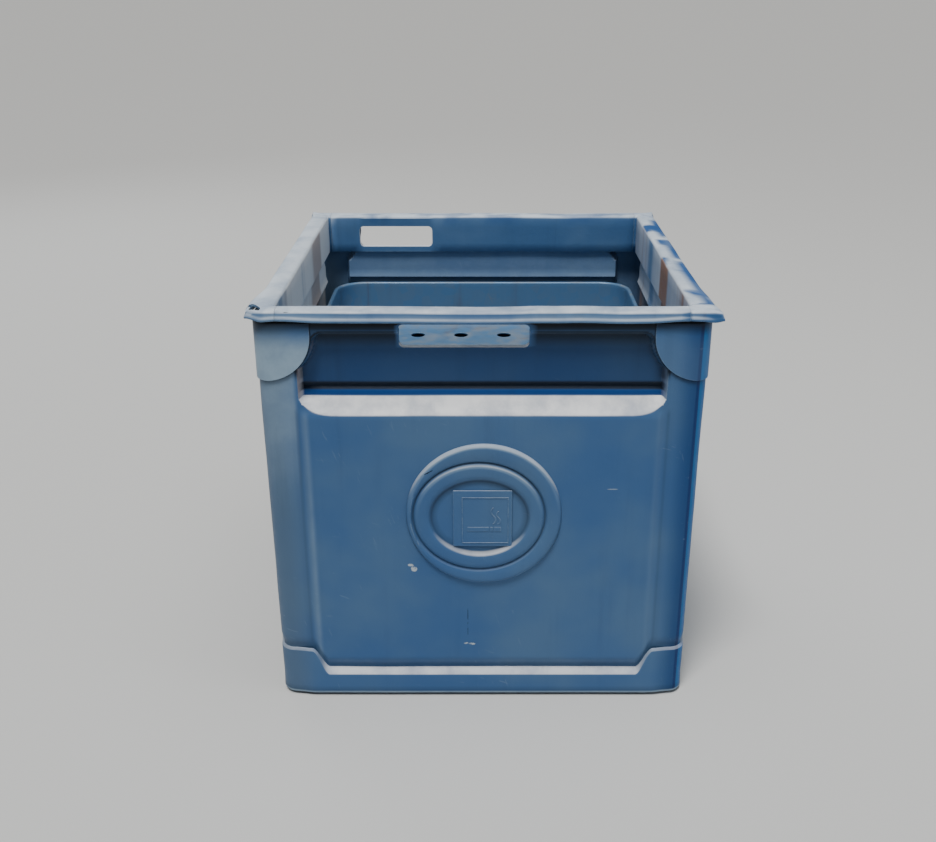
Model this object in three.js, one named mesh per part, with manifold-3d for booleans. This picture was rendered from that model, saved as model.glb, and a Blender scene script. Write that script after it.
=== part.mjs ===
// Square open-topped street ashtray bin, in millimetres, +Z up, front towards -Y.
// A moulded shell stands in a base shoe on four rubber feet. Edge rails and corner caps close its top,
// and a steel liner with a swinging bail and a lift-out stub grate stands inside it.
// The origin is on the floor, under the middle of the bin.
import * as THREE from "three";
import { mergeVertices } from "three/addons/utils/BufferGeometryUtils.js";
import Module from "manifold-3d";

const wasm = await Module();
wasm.setup();

// Driving dimensions
const GAP = 0.3; // left between pieces that touch
const WALL = 4;
const RUNNING = 0.1; // left around a pin that turns
const FAR = 215; // beyond every wall, for cutters
const QUARTER = Math.PI / 2;

const SHELL = {
  bottom: 9.8,
  top: 390,
  halfBottom: 196,
  halfTop: 197.5,
  radius: 15,
  bossRadius: 8,
  bossHeight: 10,
  drainRadius: 5,
  drainSpread: 60,
};
const RIM = {
  top: 394,
  lipBottom: 384,
  skirtBottom: 352,
  outerHalf: 201,
  innerHalf: 180,
  flange: 3.5,
  lip: 3,
  skirt: 3,
  railEnd: 177,
  earTip: 206,
  capRise: 1.2,
};
// The sunk band below the rim, and the slope that leads out of it to the main panel
const BAND = {
  top: 374,
  crease: 325,
  slopeTop: 315,
  slopeBottom: 299,
  depth: 10,
  lowHalf: 161.5,
  cornerRadius: 9,
  lobeGap: 1, // of wall left between the band and the lobes
};
const LOBE = { centreX: 189.5, centreZ: 372, radius: 41, top: 383.5, proud: 1.8 };
const SHOE = {
  bottom: 3,
  half: 199.5,
  radius: 18,
  cornerTop: 55,
  middleTop: 34,
  cornerX: 163.5,
  middleX: 151,
  flangeBottom: 6.3,
  flangeInner: 130,
};
const FOOT = { radius: 17, height: 6, spread: 150, bore: 2.9, sinkRadius: 5.5, sinkDepth: 3 };
const SCREW = { radius: 2.5, headRadius: 5, headHeight: 2.2, bottom: 0.6, top: 18 };
const SLOTS = [
  { side: 0, from: -73, to: 41 },
  { side: 2, from: 59, to: 144 },
];
const SLOT = { bottom: 358, top: 382 };
const MEDALLION = { centreZ: 198, radius: 72.5, plate: 1.2, rib: 3.6, badgeHalf: 27, badgeThick: 1.6 };
const LINER = {
  bottom: 14.1,
  top: 318,
  ledge: 265,
  thick: 1,
  halfBottom: 148,
  halfLedge: 162,
  halfTop: 168.5,
  rollHalf: 172,
  rollHeight: 5,
  radius: 30,
};
const GRATE = { half: 163.8, radius: 27, thick: 1.6, holes: 6, pitch: 50, holeRadius: 8 };
const HANDLE = { legX: 38, radius: 3, height: 27, below: 6, nutFlat: 5.5, nutHeight: 4.5 };
const BAIL = {
  pivotZ: LINER.top + 11,
  armX: 173.5,
  barY: 172,
  wire: 2.5,
  bend: 45,
  endX: 166,
  gripRadius: 5.5,
  gripLength: 110,
};
const BAR_REST = LINER.top + BAIL.gripRadius + GAP; // the height the bail's bar lies at
const LUG = { x: 168.1, thick: 2.3, halfWidth: 9, baseHeight: 2.2 };

// Materials
const finish = (color, roughness, metalness) =>
  new THREE.MeshStandardMaterial({ color, roughness, metalness });
const bluePlastic = finish(0x3f6386, 0.5, 0);
const palePlastic = finish(0x9fb4c6, 0.6, 0);
const zincSteel = finish(0x6f8290, 0.45, 0.9);
const blackRubber = finish(0x1c1e20, 0.9, 0);
const brightSteel = finish(0xb9bec2, 0.35, 1);

const bin = new THREE.Group();

// Solids: three.js geometry in, three.js geometry out, with manifold-3d for the joins and cuts
function solid(geometry) {
  const bare = geometry.index ? geometry.toNonIndexed() : geometry.clone();
  bare.deleteAttribute("normal");
  bare.deleteAttribute("uv");
  const merged = mergeVertices(bare, 1e-3);
  return new wasm.Manifold(
    new wasm.Mesh({
      numProp: 3,
      vertProperties: new Float32Array(merged.attributes.position.array),
      triVerts: new Uint32Array(merged.index.array),
    }),
  );
}

function geometryOf(body) {
  const { vertProperties, triVerts, numProp } = body.getMesh();
  const corners = new Float32Array((vertProperties.length / numProp) * 3);
  for (let i = 0; i < corners.length / 3; i += 1) {
    corners.set(vertProperties.subarray(i * numProp, i * numProp + 3), i * 3);
  }
  return new THREE.BufferGeometry()
    .setAttribute("position", new THREE.BufferAttribute(corners, 3))
    .setIndex(new THREE.BufferAttribute(triVerts, 1));
}

const join = (...bodies) => bodies.reduce((a, b) => a.add(b));
const cut = (body, ...tools) => tools.reduce((a, b) => a.subtract(b), body);

function addPiece(name, body, material) {
  const mesh = new THREE.Mesh(geometryOf(body), material);
  mesh.name = name;
  mesh.geometry.computeVertexNormals();
  bin.add(mesh);
}

// Outlines
function roundedSquare(half, radius) {
  const c = half - radius;
  const shape = new THREE.Shape();
  shape.absarc(c, c, radius, 0, QUARTER);
  shape.absarc(-c, c, radius, QUARTER, 2 * QUARTER);
  shape.absarc(-c, -c, radius, 2 * QUARTER, 3 * QUARTER);
  shape.absarc(c, -c, radius, 3 * QUARTER, 4 * QUARTER);
  return shape;
}

function polygon(points) {
  return new THREE.Shape(points.map(([x, y]) => new THREE.Vector2(x, y)));
}

// Bodies made from outlines
function upright(shape, bottom, top, curveSegments = 5) {
  const geometry = new THREE.ExtrudeGeometry(shape, {
    depth: top - bottom,
    bevelEnabled: false,
    curveSegments,
  });
  return geometry.translate(0, 0, bottom);
}

// An upright rounded square whose half width runs from one value at its bottom to another at its top
function drafted(halfBottom, halfTop, radius, bottom, top) {
  const geometry = upright(roundedSquare(halfTop, radius), bottom, top);
  const place = geometry.attributes.position;
  for (let i = 0; i < place.count; i += 1) {
    const share = (place.getZ(i) - bottom) / (top - bottom);
    const scale = 1 + (1 - share) * (halfBottom / halfTop - 1);
    place.setXY(i, place.getX(i) * scale, place.getY(i) * scale);
  }
  return solid(geometry);
}

// An outline drawn in x and z, extruded from the middle out through the front wall
function throughFront(shape, curveSegments = 4) {
  const geometry = new THREE.ExtrudeGeometry(shape, {
    depth: FAR,
    bevelEnabled: false,
    curveSegments,
  });
  return geometry.rotateX(QUARTER);
}

// A profile drawn in y and z, extruded along x
function alongX(shape, from, to, curveSegments = 3) {
  const geometry = new THREE.ExtrudeGeometry(shape, {
    depth: to - from,
    bevelEnabled: false,
    curveSegments,
  });
  return geometry.translate(0, 0, from).rotateX(QUARTER).rotateZ(QUARTER);
}

function box(x0, x1, y0, y1, z0, z1) {
  const geometry = new THREE.BoxGeometry(x1 - x0, y1 - y0, z1 - z0);
  return geometry.translate((x0 + x1) / 2, (y0 + y1) / 2, (z0 + z1) / 2);
}

function post(x, y, z0, z1, radius, sides = 16) {
  const geometry = new THREE.CylinderGeometry(radius, radius, z1 - z0, sides);
  return solid(geometry.rotateX(QUARTER).translate(x, y, (z0 + z1) / 2));
}

const turned = (geometry, side) => solid(geometry.clone().rotateZ(side * QUARTER));
const spun = (body, side) => turned(geometryOf(body), side);
const onFourSides = (geometry) => [0, 1, 2, 3].map((side) => turned(geometry, side));
const CORNERS = [
  ["front_left", -1, -1, 3],
  ["front_right", 1, -1, 0],
  ["back_right", 1, 1, 1],
  ["back_left", -1, 1, 2],
];
const slotCutters = SLOTS.map(({ side, from, to }) =>
  turned(box(from, to, -FAR, -RIM.innerHalf + 10, SLOT.bottom, SLOT.top), side),
);

// The sunk band's outline, grown by a margin: its sides follow the lobes of the corner gussets
function bandOutline(margin) {
  const { centreX, centreZ, radius } = LOBE;
  const low = BAND.lowHalf + margin;
  const top = BAND.top + margin;
  const r = BAND.cornerRadius;
  const around = radius + BAND.lobeGap - margin;
  const steps = 6;
  const start = Math.acos((low - centreX) / around); // where the upright side meets the lobe
  const end = Math.PI + Math.asin((top - r - centreZ) / around);
  const side = [];
  for (let i = 0; i <= steps; i += 1) {
    const angle = start + ((end - start) * i) / steps;
    side.push([centreX + around * Math.cos(angle), centreZ - around * Math.sin(angle)]);
  }
  const high = side.at(-1)[0];
  for (let i = 1; i <= 4; i += 1) {
    const angle = (i / 4) * QUARTER;
    side.push([high - r + r * Math.cos(angle), top - r + r * Math.sin(angle)]);
  }
  const right = [[low, BAND.slopeBottom - margin], ...side];
  const left = right.map(([x, z]) => [-x, z]).reverse();
  return polygon([...right, ...left]);
}

// The sunk band's section, moved inwards by a margin
function bandSection(margin) {
  const face = SHELL.halfTop - BAND.depth - margin;
  return polygon([
    [-face, BAND.top + margin],
    [-face, BAND.crease - margin / 2],
    [-face - 2, BAND.slopeTop - margin / 2],
    [-face - 11, BAND.slopeBottom - margin],
    [-FAR, BAND.slopeBottom - margin],
    [-FAR, BAND.top + margin],
  ]);
}

function bandBodies(margin) {
  const outline = throughFront(bandOutline(margin));
  const section = alongX(bandSection(margin), -FAR, FAR);
  return [0, 1, 2, 3].map((side) => turned(outline, side).intersect(turned(section, side)));
}

function bodyShell() {
  const { bottom, top, halfBottom, halfTop, radius } = SHELL;
  const outer = drafted(halfBottom, halfTop, radius, bottom, top);
  const room = drafted(halfBottom - WALL, halfTop - WALL, radius - WALL, bottom + WALL, top + 1);
  const floorTop = bottom + WALL;
  const bosses = CORNERS.map(([, sx, sy]) =>
    post(sx * FOOT.spread, sy * FOOT.spread, floorTop - 1, floorTop + SHELL.bossHeight, SHELL.bossRadius),
  );
  const screwHoles = CORNERS.map(([, sx, sy]) =>
    post(sx * FOOT.spread, sy * FOOT.spread, bottom - 1, SCREW.top + 1, FOOT.bore),
  );
  const drains = CORNERS.map(([, sx, sy]) =>
    post(sx * SHELL.drainSpread, sy * SHELL.drainSpread, 0, floorTop + 1, SHELL.drainRadius),
  );
  const walls = cut(outer, ...bandBodies(0), cut(room, ...bandBodies(WALL)));
  return cut(join(walls, ...bosses), ...screwHoles, ...drains, ...slotCutters);
}

// The shoe that the shell stands in: a skirt with raised corners, and a flange under the shell
function baseShoe() {
  const { bottom, half, radius, cornerTop, middleTop, cornerX, middleX } = SHOE;
  const skirt = solid(upright(roundedSquare(half, radius), bottom, cornerTop));
  const socket = drafted(
    SHELL.halfBottom + GAP,
    SHELL.halfTop + GAP,
    SHELL.radius,
    SHELL.bottom - GAP,
    SHELL.top,
  );
  const under = solid(upright(roundedSquare(half - 3, radius - 3), 0, SHOE.flangeBottom));
  const middle = solid(upright(roundedSquare(SHOE.flangeInner, 20), 0, SHELL.bottom + 1));
  const notch = throughFront(
    polygon([
      [-cornerX, cornerTop + 1],
      [-middleX, middleTop],
      [middleX, middleTop],
      [cornerX, cornerTop + 1],
    ]),
  );
  const screwHoles = CORNERS.map(([, sx, sy]) =>
    post(sx * FOOT.spread, sy * FOOT.spread, 0, SHELL.bottom + 1, FOOT.bore),
  );
  return cut(skirt, socket, under, middle, ...onFourSides(notch), ...screwHoles);
}

// A thin moulding over a top corner, whose lower edge is a lobe on both of its faces
function lobeOutline() {
  const { centreX, centreZ, radius, top } = LOBE;
  const lobe = new THREE.Shape();
  lobe.moveTo(centreX - radius, top);
  lobe.lineTo(centreX - radius, centreZ);
  lobe.absarc(centreX, centreZ, radius, 2 * QUARTER, 3 * QUARTER);
  lobe.lineTo(FAR, centreZ - radius);
  lobe.lineTo(FAR, top);
  return lobe.getPoints(9);
}

function cornerGusset(side) {
  const inside = SHELL.halfTop + GAP;
  const outside = inside + LOBE.proud;
  const inner = drafted(inside, inside, SHELL.radius, BAND.crease, SHELL.top);
  const outer = drafted(outside, outside, SHELL.radius + LOBE.proud, BAND.crease + 1, LOBE.top);
  const points = lobeOutline();
  const onFront = turned(throughFront(new THREE.Shape(points)), 0);
  const mirrored = points.map(({ x, y }) => new THREE.Vector2(-x, y));
  const onRight = turned(throughFront(new THREE.Shape(mirrored)), 1);
  return spun(cut(outer, inner).intersect(onFront).intersect(onRight), side);
}

// An edge rail: a channel that straddles the top of one wall, with a deep skirt inside
function railSection() {
  const { top, lipBottom, skirtBottom, outerHalf, innerHalf, flange, lip, skirt } = RIM;
  const r = 2.5;
  const shape = new THREE.Shape();
  shape.moveTo(-outerHalf, lipBottom);
  shape.lineTo(-outerHalf + lip, lipBottom);
  shape.lineTo(-outerHalf + lip, top - flange);
  shape.lineTo(-innerHalf - skirt, top - flange);
  shape.lineTo(-innerHalf - skirt, skirtBottom);
  shape.lineTo(-innerHalf, skirtBottom);
  shape.lineTo(-innerHalf, top - r);
  shape.absarc(-innerHalf - r, top - r, r, 0, QUARTER);
  shape.absarc(-outerHalf + r, top - r, r, QUARTER, 2 * QUARTER);
  return shape;
}

function edgeRail(side) {
  const rail = alongX(railSection(), -RIM.railEnd, RIM.railEnd, 3);
  return cut(turned(rail, side), ...slotCutters);
}

// The plan of a corner cap: its outer edges sweep out to a pointed ear
function capPlan(inset) {
  const { railEnd, outerHalf, innerHalf, earTip } = RIM;
  const start = railEnd + GAP + inset;
  const line = outerHalf - inset;
  const tip = earTip - inset;
  const bend = 191;
  const inner = innerHalf + inset;
  const shape = new THREE.Shape();
  shape.moveTo(start, -inner);
  shape.lineTo(start, -line);
  shape.quadraticCurveTo(bend, -line, tip, -tip);
  shape.quadraticCurveTo(line, -bend, line, -start);
  shape.lineTo(inner, -start);
  shape.lineTo(inner, -inner);
  return shape;
}

function cornerCap(side) {
  const { top, lipBottom, skirtBottom, flange, lip, skirt, innerHalf, railEnd, capRise } = RIM;
  const start = railEnd + GAP;
  const whole = solid(upright(capPlan(0), lipBottom, top + capRise, 6));
  const hollow = solid(upright(capPlan(lip), lipBottom - 1, top - flange, 6));
  const mouths = join(
    solid(box(start - 1, start + lip + 1, -RIM.outerHalf + lip, -innerHalf - skirt, 0, top - flange)),
    solid(box(innerHalf + skirt, RIM.outerHalf - lip, -start - lip - 1, -start + 1, 0, top - flange)),
  );
  const skirtCorner = cut(
    solid(box(start, innerHalf + skirt, -innerHalf - skirt, -start, skirtBottom, top - flange)),
    solid(box(start - 1, innerHalf, -innerHalf, -start + 1, 0, top + 9)),
  );
  return spun(join(cut(whole, hollow, mouths), skirtCorner), side);
}

// The round medallion on the front panel: a disc with two concentric ribs
function medallion() {
  const { radius, plate, rib } = MEDALLION;
  const profile = [
    [0, 0],
    [radius, 0],
    [radius, 0.6],
    [radius - 2.5, rib],
    [radius - 9, rib],
    [radius - 12, plate],
    [radius - 15, plate],
    [radius - 18, rib],
    [radius - 26, rib],
    [radius - 29.5, plate],
    [0, plate],
  ].map(([r, h]) => new THREE.Vector2(r, h));
  return onPanel(new THREE.LatheGeometry(profile, 48).rotateX(2 * QUARTER), 0);
}

function badgePlate() {
  const { plate, badgeHalf, badgeThick } = MEDALLION;
  const tile = new THREE.BoxGeometry(2 * badgeHalf, badgeThick, 2 * badgeHalf);
  return onPanel(tile.translate(0, -badgeThick / 2, 0), plate + GAP);
}

// Leans a piece back with the wall's draft and sets it in front of the wall
function onPanel(geometry, lift) {
  const draft = Math.atan2(SHELL.halfTop - SHELL.halfBottom, SHELL.top - SHELL.bottom);
  const rise = (MEDALLION.centreZ - SHELL.bottom) / (SHELL.top - SHELL.bottom);
  const face = SHELL.halfBottom + rise * (SHELL.halfTop - SHELL.halfBottom);
  return solid(geometry.rotateX(draft).translate(0, -face - GAP - lift, MEDALLION.centreZ));
}

function foot(sx, sy) {
  const { radius, height, spread, bore, sinkRadius, sinkDepth } = FOOT;
  const [x, y] = [sx * spread, sy * spread];
  return cut(
    post(x, y, 0, height, radius, 24),
    post(x, y, -1, height + 1, bore),
    post(x, y, -1, sinkDepth, sinkRadius),
  );
}

function footScrew(sx, sy) {
  const { radius, headRadius, headHeight, bottom, top } = SCREW;
  const [x, y] = [sx * FOOT.spread, sy * FOOT.spread];
  return join(
    post(x, y, bottom, bottom + headHeight, headRadius),
    post(x, y, bottom + headHeight - 0.5, top, radius),
  );
}

// The steel liner: a deep pail with a shoulder for the grate and a rolled top edge
function linerPail() {
  const { bottom, top, ledge, thick, halfBottom, halfLedge, halfTop, rollHalf, rollHeight, radius } =
    LINER;
  const outer = join(
    drafted(halfBottom, halfLedge, radius, bottom, ledge),
    drafted(halfTop - 1, halfTop, radius, ledge - thick, top - 1),
    drafted(rollHalf, rollHalf, radius + 3, top - rollHeight, top),
  );
  const inner = join(
    drafted(halfBottom - thick, halfLedge - thick, radius, bottom + thick, ledge + 1),
    drafted(halfTop - 1 - thick, halfTop - thick, radius, ledge, top + 1),
  );
  return cut(outer, inner);
}

function stubGrate() {
  const { half, radius, thick, holes, pitch, holeRadius } = GRATE;
  const bottom = LINER.ledge + GAP;
  const plate = roundedSquare(half, radius);
  const first = (-(holes - 1) * pitch) / 2;
  for (let i = 0; i < holes; i += 1) {
    for (let j = 0; j < holes; j += 1) {
      const hole = new THREE.Path();
      hole.absarc(first + i * pitch, first + j * pitch, holeRadius, 0, 4 * QUARTER, true);
      plate.holes.push(hole);
    }
  }
  for (const x of [-HANDLE.legX, HANDLE.legX]) {
    plate.holes.push(new THREE.Path().absarc(x, 0, HANDLE.radius + GAP, 0, 4 * QUARTER, true));
  }
  return solid(upright(plate, bottom, bottom + thick, 4));
}

// A round bar along a curve
function rod(curve, radius, steps) {
  const round = new THREE.Shape().absarc(0, 0, radius, 0, 4 * QUARTER);
  const options = { bevelEnabled: false, curveSegments: 5, steps, extrudePath: curve };
  return solid(new THREE.ExtrudeGeometry(round, options));
}

// A path through points, with each inner corner rounded to a radius
function bentPath(points, bend) {
  const path = new THREE.CurvePath();
  let start = points[0];
  for (let i = 1; i < points.length - 1; i += 1) {
    const [before, corner, after] = [points[i - 1], points[i], points[i + 1]];
    const into = corner.clone().add(before.clone().sub(corner).setLength(bend));
    const out = corner.clone().add(after.clone().sub(corner).setLength(bend));
    path.add(new THREE.LineCurve3(start, into));
    path.add(new THREE.QuadraticBezierCurve3(into, corner, out));
    start = out;
  }
  path.add(new THREE.LineCurve3(start, points.at(-1)));
  return path;
}

const grateTop = LINER.ledge + GAP + GRATE.thick;

function grateHandle() {
  const { legX, radius, height, below } = HANDLE;
  const [low, high] = [grateTop - GRATE.thick - below, grateTop + height];
  const corners = [
    [-legX, low],
    [-legX, high],
    [legX, high],
    [legX, low],
  ].map(([x, z]) => new THREE.Vector3(x, 0, z));
  return rod(bentPath(corners, 12), radius - 0.1, 26);
}

function handleNut(sx) {
  const { legX, radius, below, nutFlat, nutHeight } = HANDLE;
  const top = grateTop - GRATE.thick - GAP;
  const nut = post(sx * legX, 0, top - nutHeight, top, nutFlat, 6);
  return cut(nut, post(sx * legX, 0, top - below - 1, top + 1, radius + GAP));
}

// The bail: a wire bow that lies towards the front edge of the liner and swings up and over
function bailWire() {
  const { pivotZ, armX, barY, wire, bend, endX } = BAIL;
  const bow = bentPath(
    [
      [-armX, 0, pivotZ],
      [-armX, -barY, BAR_REST],
      [armX, -barY, BAR_REST],
      [armX, 0, pivotZ],
    ].map(([x, y, z]) => new THREE.Vector3(x, y, z)),
    bend,
  );
  const length = armX - endX + wire;
  const pins = [-1, 1].map((s) => {
    const pin = new THREE.CylinderGeometry(wire, wire, length, 12).rotateZ(QUARTER);
    return solid(pin.translate(s * (endX + length / 2), 0, pivotZ));
  });
  return join(rod(bow, wire, 44), ...pins);
}

function bailGrip() {
  const { gripRadius, gripLength, wire, barY } = BAIL;
  const tube = new THREE.LatheGeometry(
    [
      [wire + GAP, -gripLength / 2],
      [gripRadius - 1, -gripLength / 2],
      [gripRadius, -gripLength / 2 + 3],
      [gripRadius, gripLength / 2 - 3],
      [gripRadius - 1, gripLength / 2],
      [wire + GAP, gripLength / 2],
      [wire + GAP, -gripLength / 2],
    ].map(([r, h]) => new THREE.Vector2(r, h)),
    16,
  );
  return solid(tube.rotateZ(QUARTER).translate(0, -barY, BAR_REST));
}

// A lug on the liner's rolled edge that the bail's hooked end turns in
function bailLug(sx) {
  const { x, thick, halfWidth, baseHeight } = LUG;
  const foot = LINER.top + GAP;
  const profile = new THREE.Shape();
  profile.moveTo(-halfWidth, foot);
  profile.lineTo(halfWidth, foot);
  profile.absarc(0, BAIL.pivotZ, halfWidth, 0, 2 * QUARTER);
  const hole = new THREE.Path();
  hole.absarc(0, BAIL.pivotZ, BAIL.wire + RUNNING, 0, 4 * QUARTER, true);
  profile.holes.push(hole);
  const plate = alongX(profile, x, x + thick, 8);
  const base = box(x - 1, x + 3.6, -halfWidth - 4, halfWidth + 4, foot, foot + baseHeight);
  const lug = join(solid(plate), solid(base));
  return spun(lug, sx > 0 ? 0 : 2);
}

addPiece("body_shell", bodyShell(), bluePlastic);
addPiece("base_shoe", baseShoe(), bluePlastic);
["front", "right", "back", "left"].forEach((name, side) => {
  addPiece(`rim_rail_${name}`, edgeRail(side), palePlastic);
});
for (const [name, sx, sy, side] of CORNERS) {
  addPiece(`rim_corner_${name}`, cornerCap(side), palePlastic);
  addPiece(`corner_gusset_${name}`, cornerGusset(side), bluePlastic);
  addPiece(`foot_${name}`, foot(sx, sy), blackRubber);
  addPiece(`foot_screw_${name}`, footScrew(sx, sy), brightSteel);
}
addPiece("medallion_ring", medallion(), bluePlastic);
addPiece("badge_plate", badgePlate(), bluePlastic);
addPiece("liner_pail", linerPail(), zincSteel);
addPiece("stub_grate", stubGrate(), zincSteel);
addPiece("grate_handle", grateHandle(), brightSteel);
addPiece("bail_wire", bailWire(), brightSteel);
addPiece("bail_grip", bailGrip(), blackRubber);
for (const [name, sx] of [
  ["left", -1],
  ["right", 1],
]) {
  addPiece(`handle_nut_${name}`, handleNut(sx), brightSteel);
  addPiece(`bail_lug_${name}`, bailLug(sx), zincSteel);
}

export default bin;
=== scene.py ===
"""A square open-topped street ashtray bin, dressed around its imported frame.

A blue moulded tub stands in a shoe on four rubber feet. Pale edge rails and eared
corner caps close its top, and a coated steel liner with a bail and a stub grate
stands inside. Sizes are in millimetres until a mesh is placed, and the front faces -Y.
"""

import logging
import math
from collections.abc import Callable, Iterable
from dataclasses import dataclass, field
from enum import Enum

import bpy
import numpy as np
from mathutils import Matrix, Vector, noise


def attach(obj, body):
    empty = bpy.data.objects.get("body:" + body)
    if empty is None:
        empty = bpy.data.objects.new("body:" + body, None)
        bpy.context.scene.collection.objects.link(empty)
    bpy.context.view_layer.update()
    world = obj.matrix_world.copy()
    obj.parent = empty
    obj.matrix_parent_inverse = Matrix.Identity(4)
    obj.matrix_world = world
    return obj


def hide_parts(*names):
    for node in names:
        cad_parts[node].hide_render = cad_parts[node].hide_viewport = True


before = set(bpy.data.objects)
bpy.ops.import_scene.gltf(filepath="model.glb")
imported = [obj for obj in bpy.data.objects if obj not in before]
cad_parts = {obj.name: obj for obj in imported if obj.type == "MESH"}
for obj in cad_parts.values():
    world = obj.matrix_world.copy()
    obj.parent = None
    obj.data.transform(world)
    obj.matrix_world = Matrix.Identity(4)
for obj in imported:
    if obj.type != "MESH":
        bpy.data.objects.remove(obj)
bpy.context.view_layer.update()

logging.basicConfig(level=logging.INFO, format="%(levelname)s %(message)s")
log = logging.getLogger("ashtray_bin")

MM = 0.001
QUARTER = math.pi / 2
Point = tuple[float, float, float]
Pair = tuple[float, float]
Colour = tuple[float, float, float, float]
Socket = bpy.types.NodeSocket
GREY = (0.5, 0.5, 0.5, 1.0)


class Body(Enum):
    """The rigid bodies that pieces ride on."""

    CARCASS = "carcass"
    LINER = "liner"
    BAIL = "bail"
    GRATE = "grate"


class Slot(Enum):
    """The record's material slots."""

    BLUE = "blue_moulding"
    RIM = "pale_rim"
    COATED = "coated_steel"
    BRIGHT = "bright_steel"
    RUBBER = "black_rubber"


class Side(Enum):
    """The four walls, by the quarter turns that bring the front wall to each."""

    FRONT = 0
    RIGHT = 1
    BACK = 2
    LEFT = 3


class Corner(Enum):
    """The four corners, by the quarter turns from the front right one."""

    FRONT_RIGHT = 0
    BACK_RIGHT = 1
    BACK_LEFT = 2
    FRONT_LEFT = 3


# ---------------------------------------------------------------- small sums


def srgb(red: float, green: float, blue: float) -> Colour:
    """Turns a display colour into a linear one.

    Args:
        red: Red, from 0 to 255.
        green: Green, from 0 to 255.
        blue: Blue, from 0 to 255.

    Returns:
        The linear colour, with full alpha.
    """

    def linear(channel: float) -> float:
        share = channel / 255
        return share / 12.92 if share <= 0.04045 else ((share + 0.055) / 1.055) ** 2.4

    return (linear(red), linear(green), linear(blue), 1.0)


def ease(value: float, low: float, high: float) -> float:
    """Rises smoothly from 0 at low to 1 at high."""
    share = min(1.0, max(0.0, (value - low) / (high - low)))
    return share * share * (3 - 2 * share)


def between(start: float, end: float, count: int) -> list[float]:
    """Gives evenly spaced values from start to end, both included."""
    return [start + (end - start) * i / count for i in range(count + 1)]


def turn(point: Point, quarters: int) -> Point:
    """Turns a point about the upright axis by quarter turns."""
    x, y, z = point
    for _ in range(quarters % 4):
        x, y = -y, x
    return (x, y, z)


def wander(point: Point, scale: float, size: float) -> float:
    """A slow, repeatable unevenness: scale is its length and size its height, in mm."""
    return noise.noise(Vector(point) / scale) * size


# ---------------------------------------------------------------- shader nodes


@dataclass
class Graph:
    """Adds nodes to one node tree, and joins them."""

    tree: bpy.types.NodeTree

    def node(self, kind: str, inputs: dict | None = None, **settings: object) -> bpy.types.Node:
        """Adds a node.

        Args:
            kind: The node's type.
            inputs: Values or sockets, by input name or number.
            settings: The node's own properties.

        Returns:
            The new node.
        """
        made = self.tree.nodes.new(kind)
        for name, value in settings.items():
            setattr(made, name, value)
        for key, value in (inputs or {}).items():
            if isinstance(value, Socket):
                self.join(value, made.inputs[key])
            else:
                made.inputs[key].default_value = value
        return made

    def math(self, operation: str, first: object, second: object = 0.0, free: bool = False) -> Socket:
        """Adds a sum of two values and returns its result, held from 0 to 1 unless it is free."""
        made = self.node("ShaderNodeMath", {0: first, 1: second}, operation=operation)
        made.use_clamp = not free
        return made.outputs[0]

    def times(self, first: object, *others: object) -> Socket:
        """Multiplies shares together."""
        for other in others:
            first = self.math("MULTIPLY", first, other)
        return first

    def waver(self, share: object, span: float, base: float) -> Socket:
        """Turns a share into a value from base to base and span."""
        made = self.math("MULTIPLY_ADD", share, span)
        made.node.inputs[2].default_value = base
        return made

    def step(self, value: object, low: object, high: object) -> Socket:
        """Rises smoothly from 0 at low to 1 at high."""
        ends = {"Value": value, "From Min": low, "From Max": high}
        return self.node("ShaderNodeMapRange", ends, interpolation_type="SMOOTHSTEP").outputs["Result"]

    def vector(self, operation: str, first: object, second: object = (0.0, 0.0, 0.0)) -> bpy.types.Node:
        """Adds a sum of two vectors."""
        return self.node("ShaderNodeVectorMath", {0: first, 1: second}, operation=operation)

    def mix(self, share: object, first: object, second: object) -> Socket:
        """Mixes two colours by a share."""
        made = self.node("ShaderNodeMix", {0: share, 6: first, 7: second}, data_type="RGBA")
        return made.outputs[2]

    def place(self, stretch: Point = (1, 1, 1), shift: Point = (0, 0, 0)) -> Socket:
        """Gives the place on the object, in metres, stretched and moved for a pattern."""
        here = self.node("ShaderNodeTexCoord").outputs["Object"]
        made = self.node("ShaderNodeMapping", {"Vector": here, "Scale": stretch, "Location": shift})
        return made.outputs["Vector"]

    def axis(self, name: str, source: str = "Object") -> Socket:
        """Gives one axis of the place on the object, or of its Normal."""
        where = self.node("ShaderNodeTexCoord").outputs[source]
        return self.node("ShaderNodeSeparateXYZ", {0: where}).outputs[name]

    def cloud(self, where: object, scale: object, detail: float = 4, rough: float = 0.6) -> Socket:
        """A soft noise pattern."""
        inputs = {"Vector": where, "Scale": scale, "Detail": detail, "Roughness": rough}
        return self.node("ShaderNodeTexNoise", inputs).outputs["Fac"]

    def patches(self, scale: float, detail: float, low: float, high: float, rough: float = 0.6) -> Socket:
        """Soft-edged patches all over the object: a cloud that is stepped from low to high."""
        return self.step(self.cloud(self.place(), scale, detail, rough), low, high)

    def join(self, start: Socket, end: Socket) -> None:
        """Joins two sockets."""
        self.tree.links.new(start, end)


class Effect(Enum):
    """The shared effects, each a node group."""

    SUN_FADE = "sun_fade"
    STREAKS = "streaks"
    SCUFFS = "scuffs"
    GRAIN = "grain"
    MARK = "mark"
    EDGE = "edge_wear"
    INSIDE = "inside_stain"
    SPECKS = "dust_specks"


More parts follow.
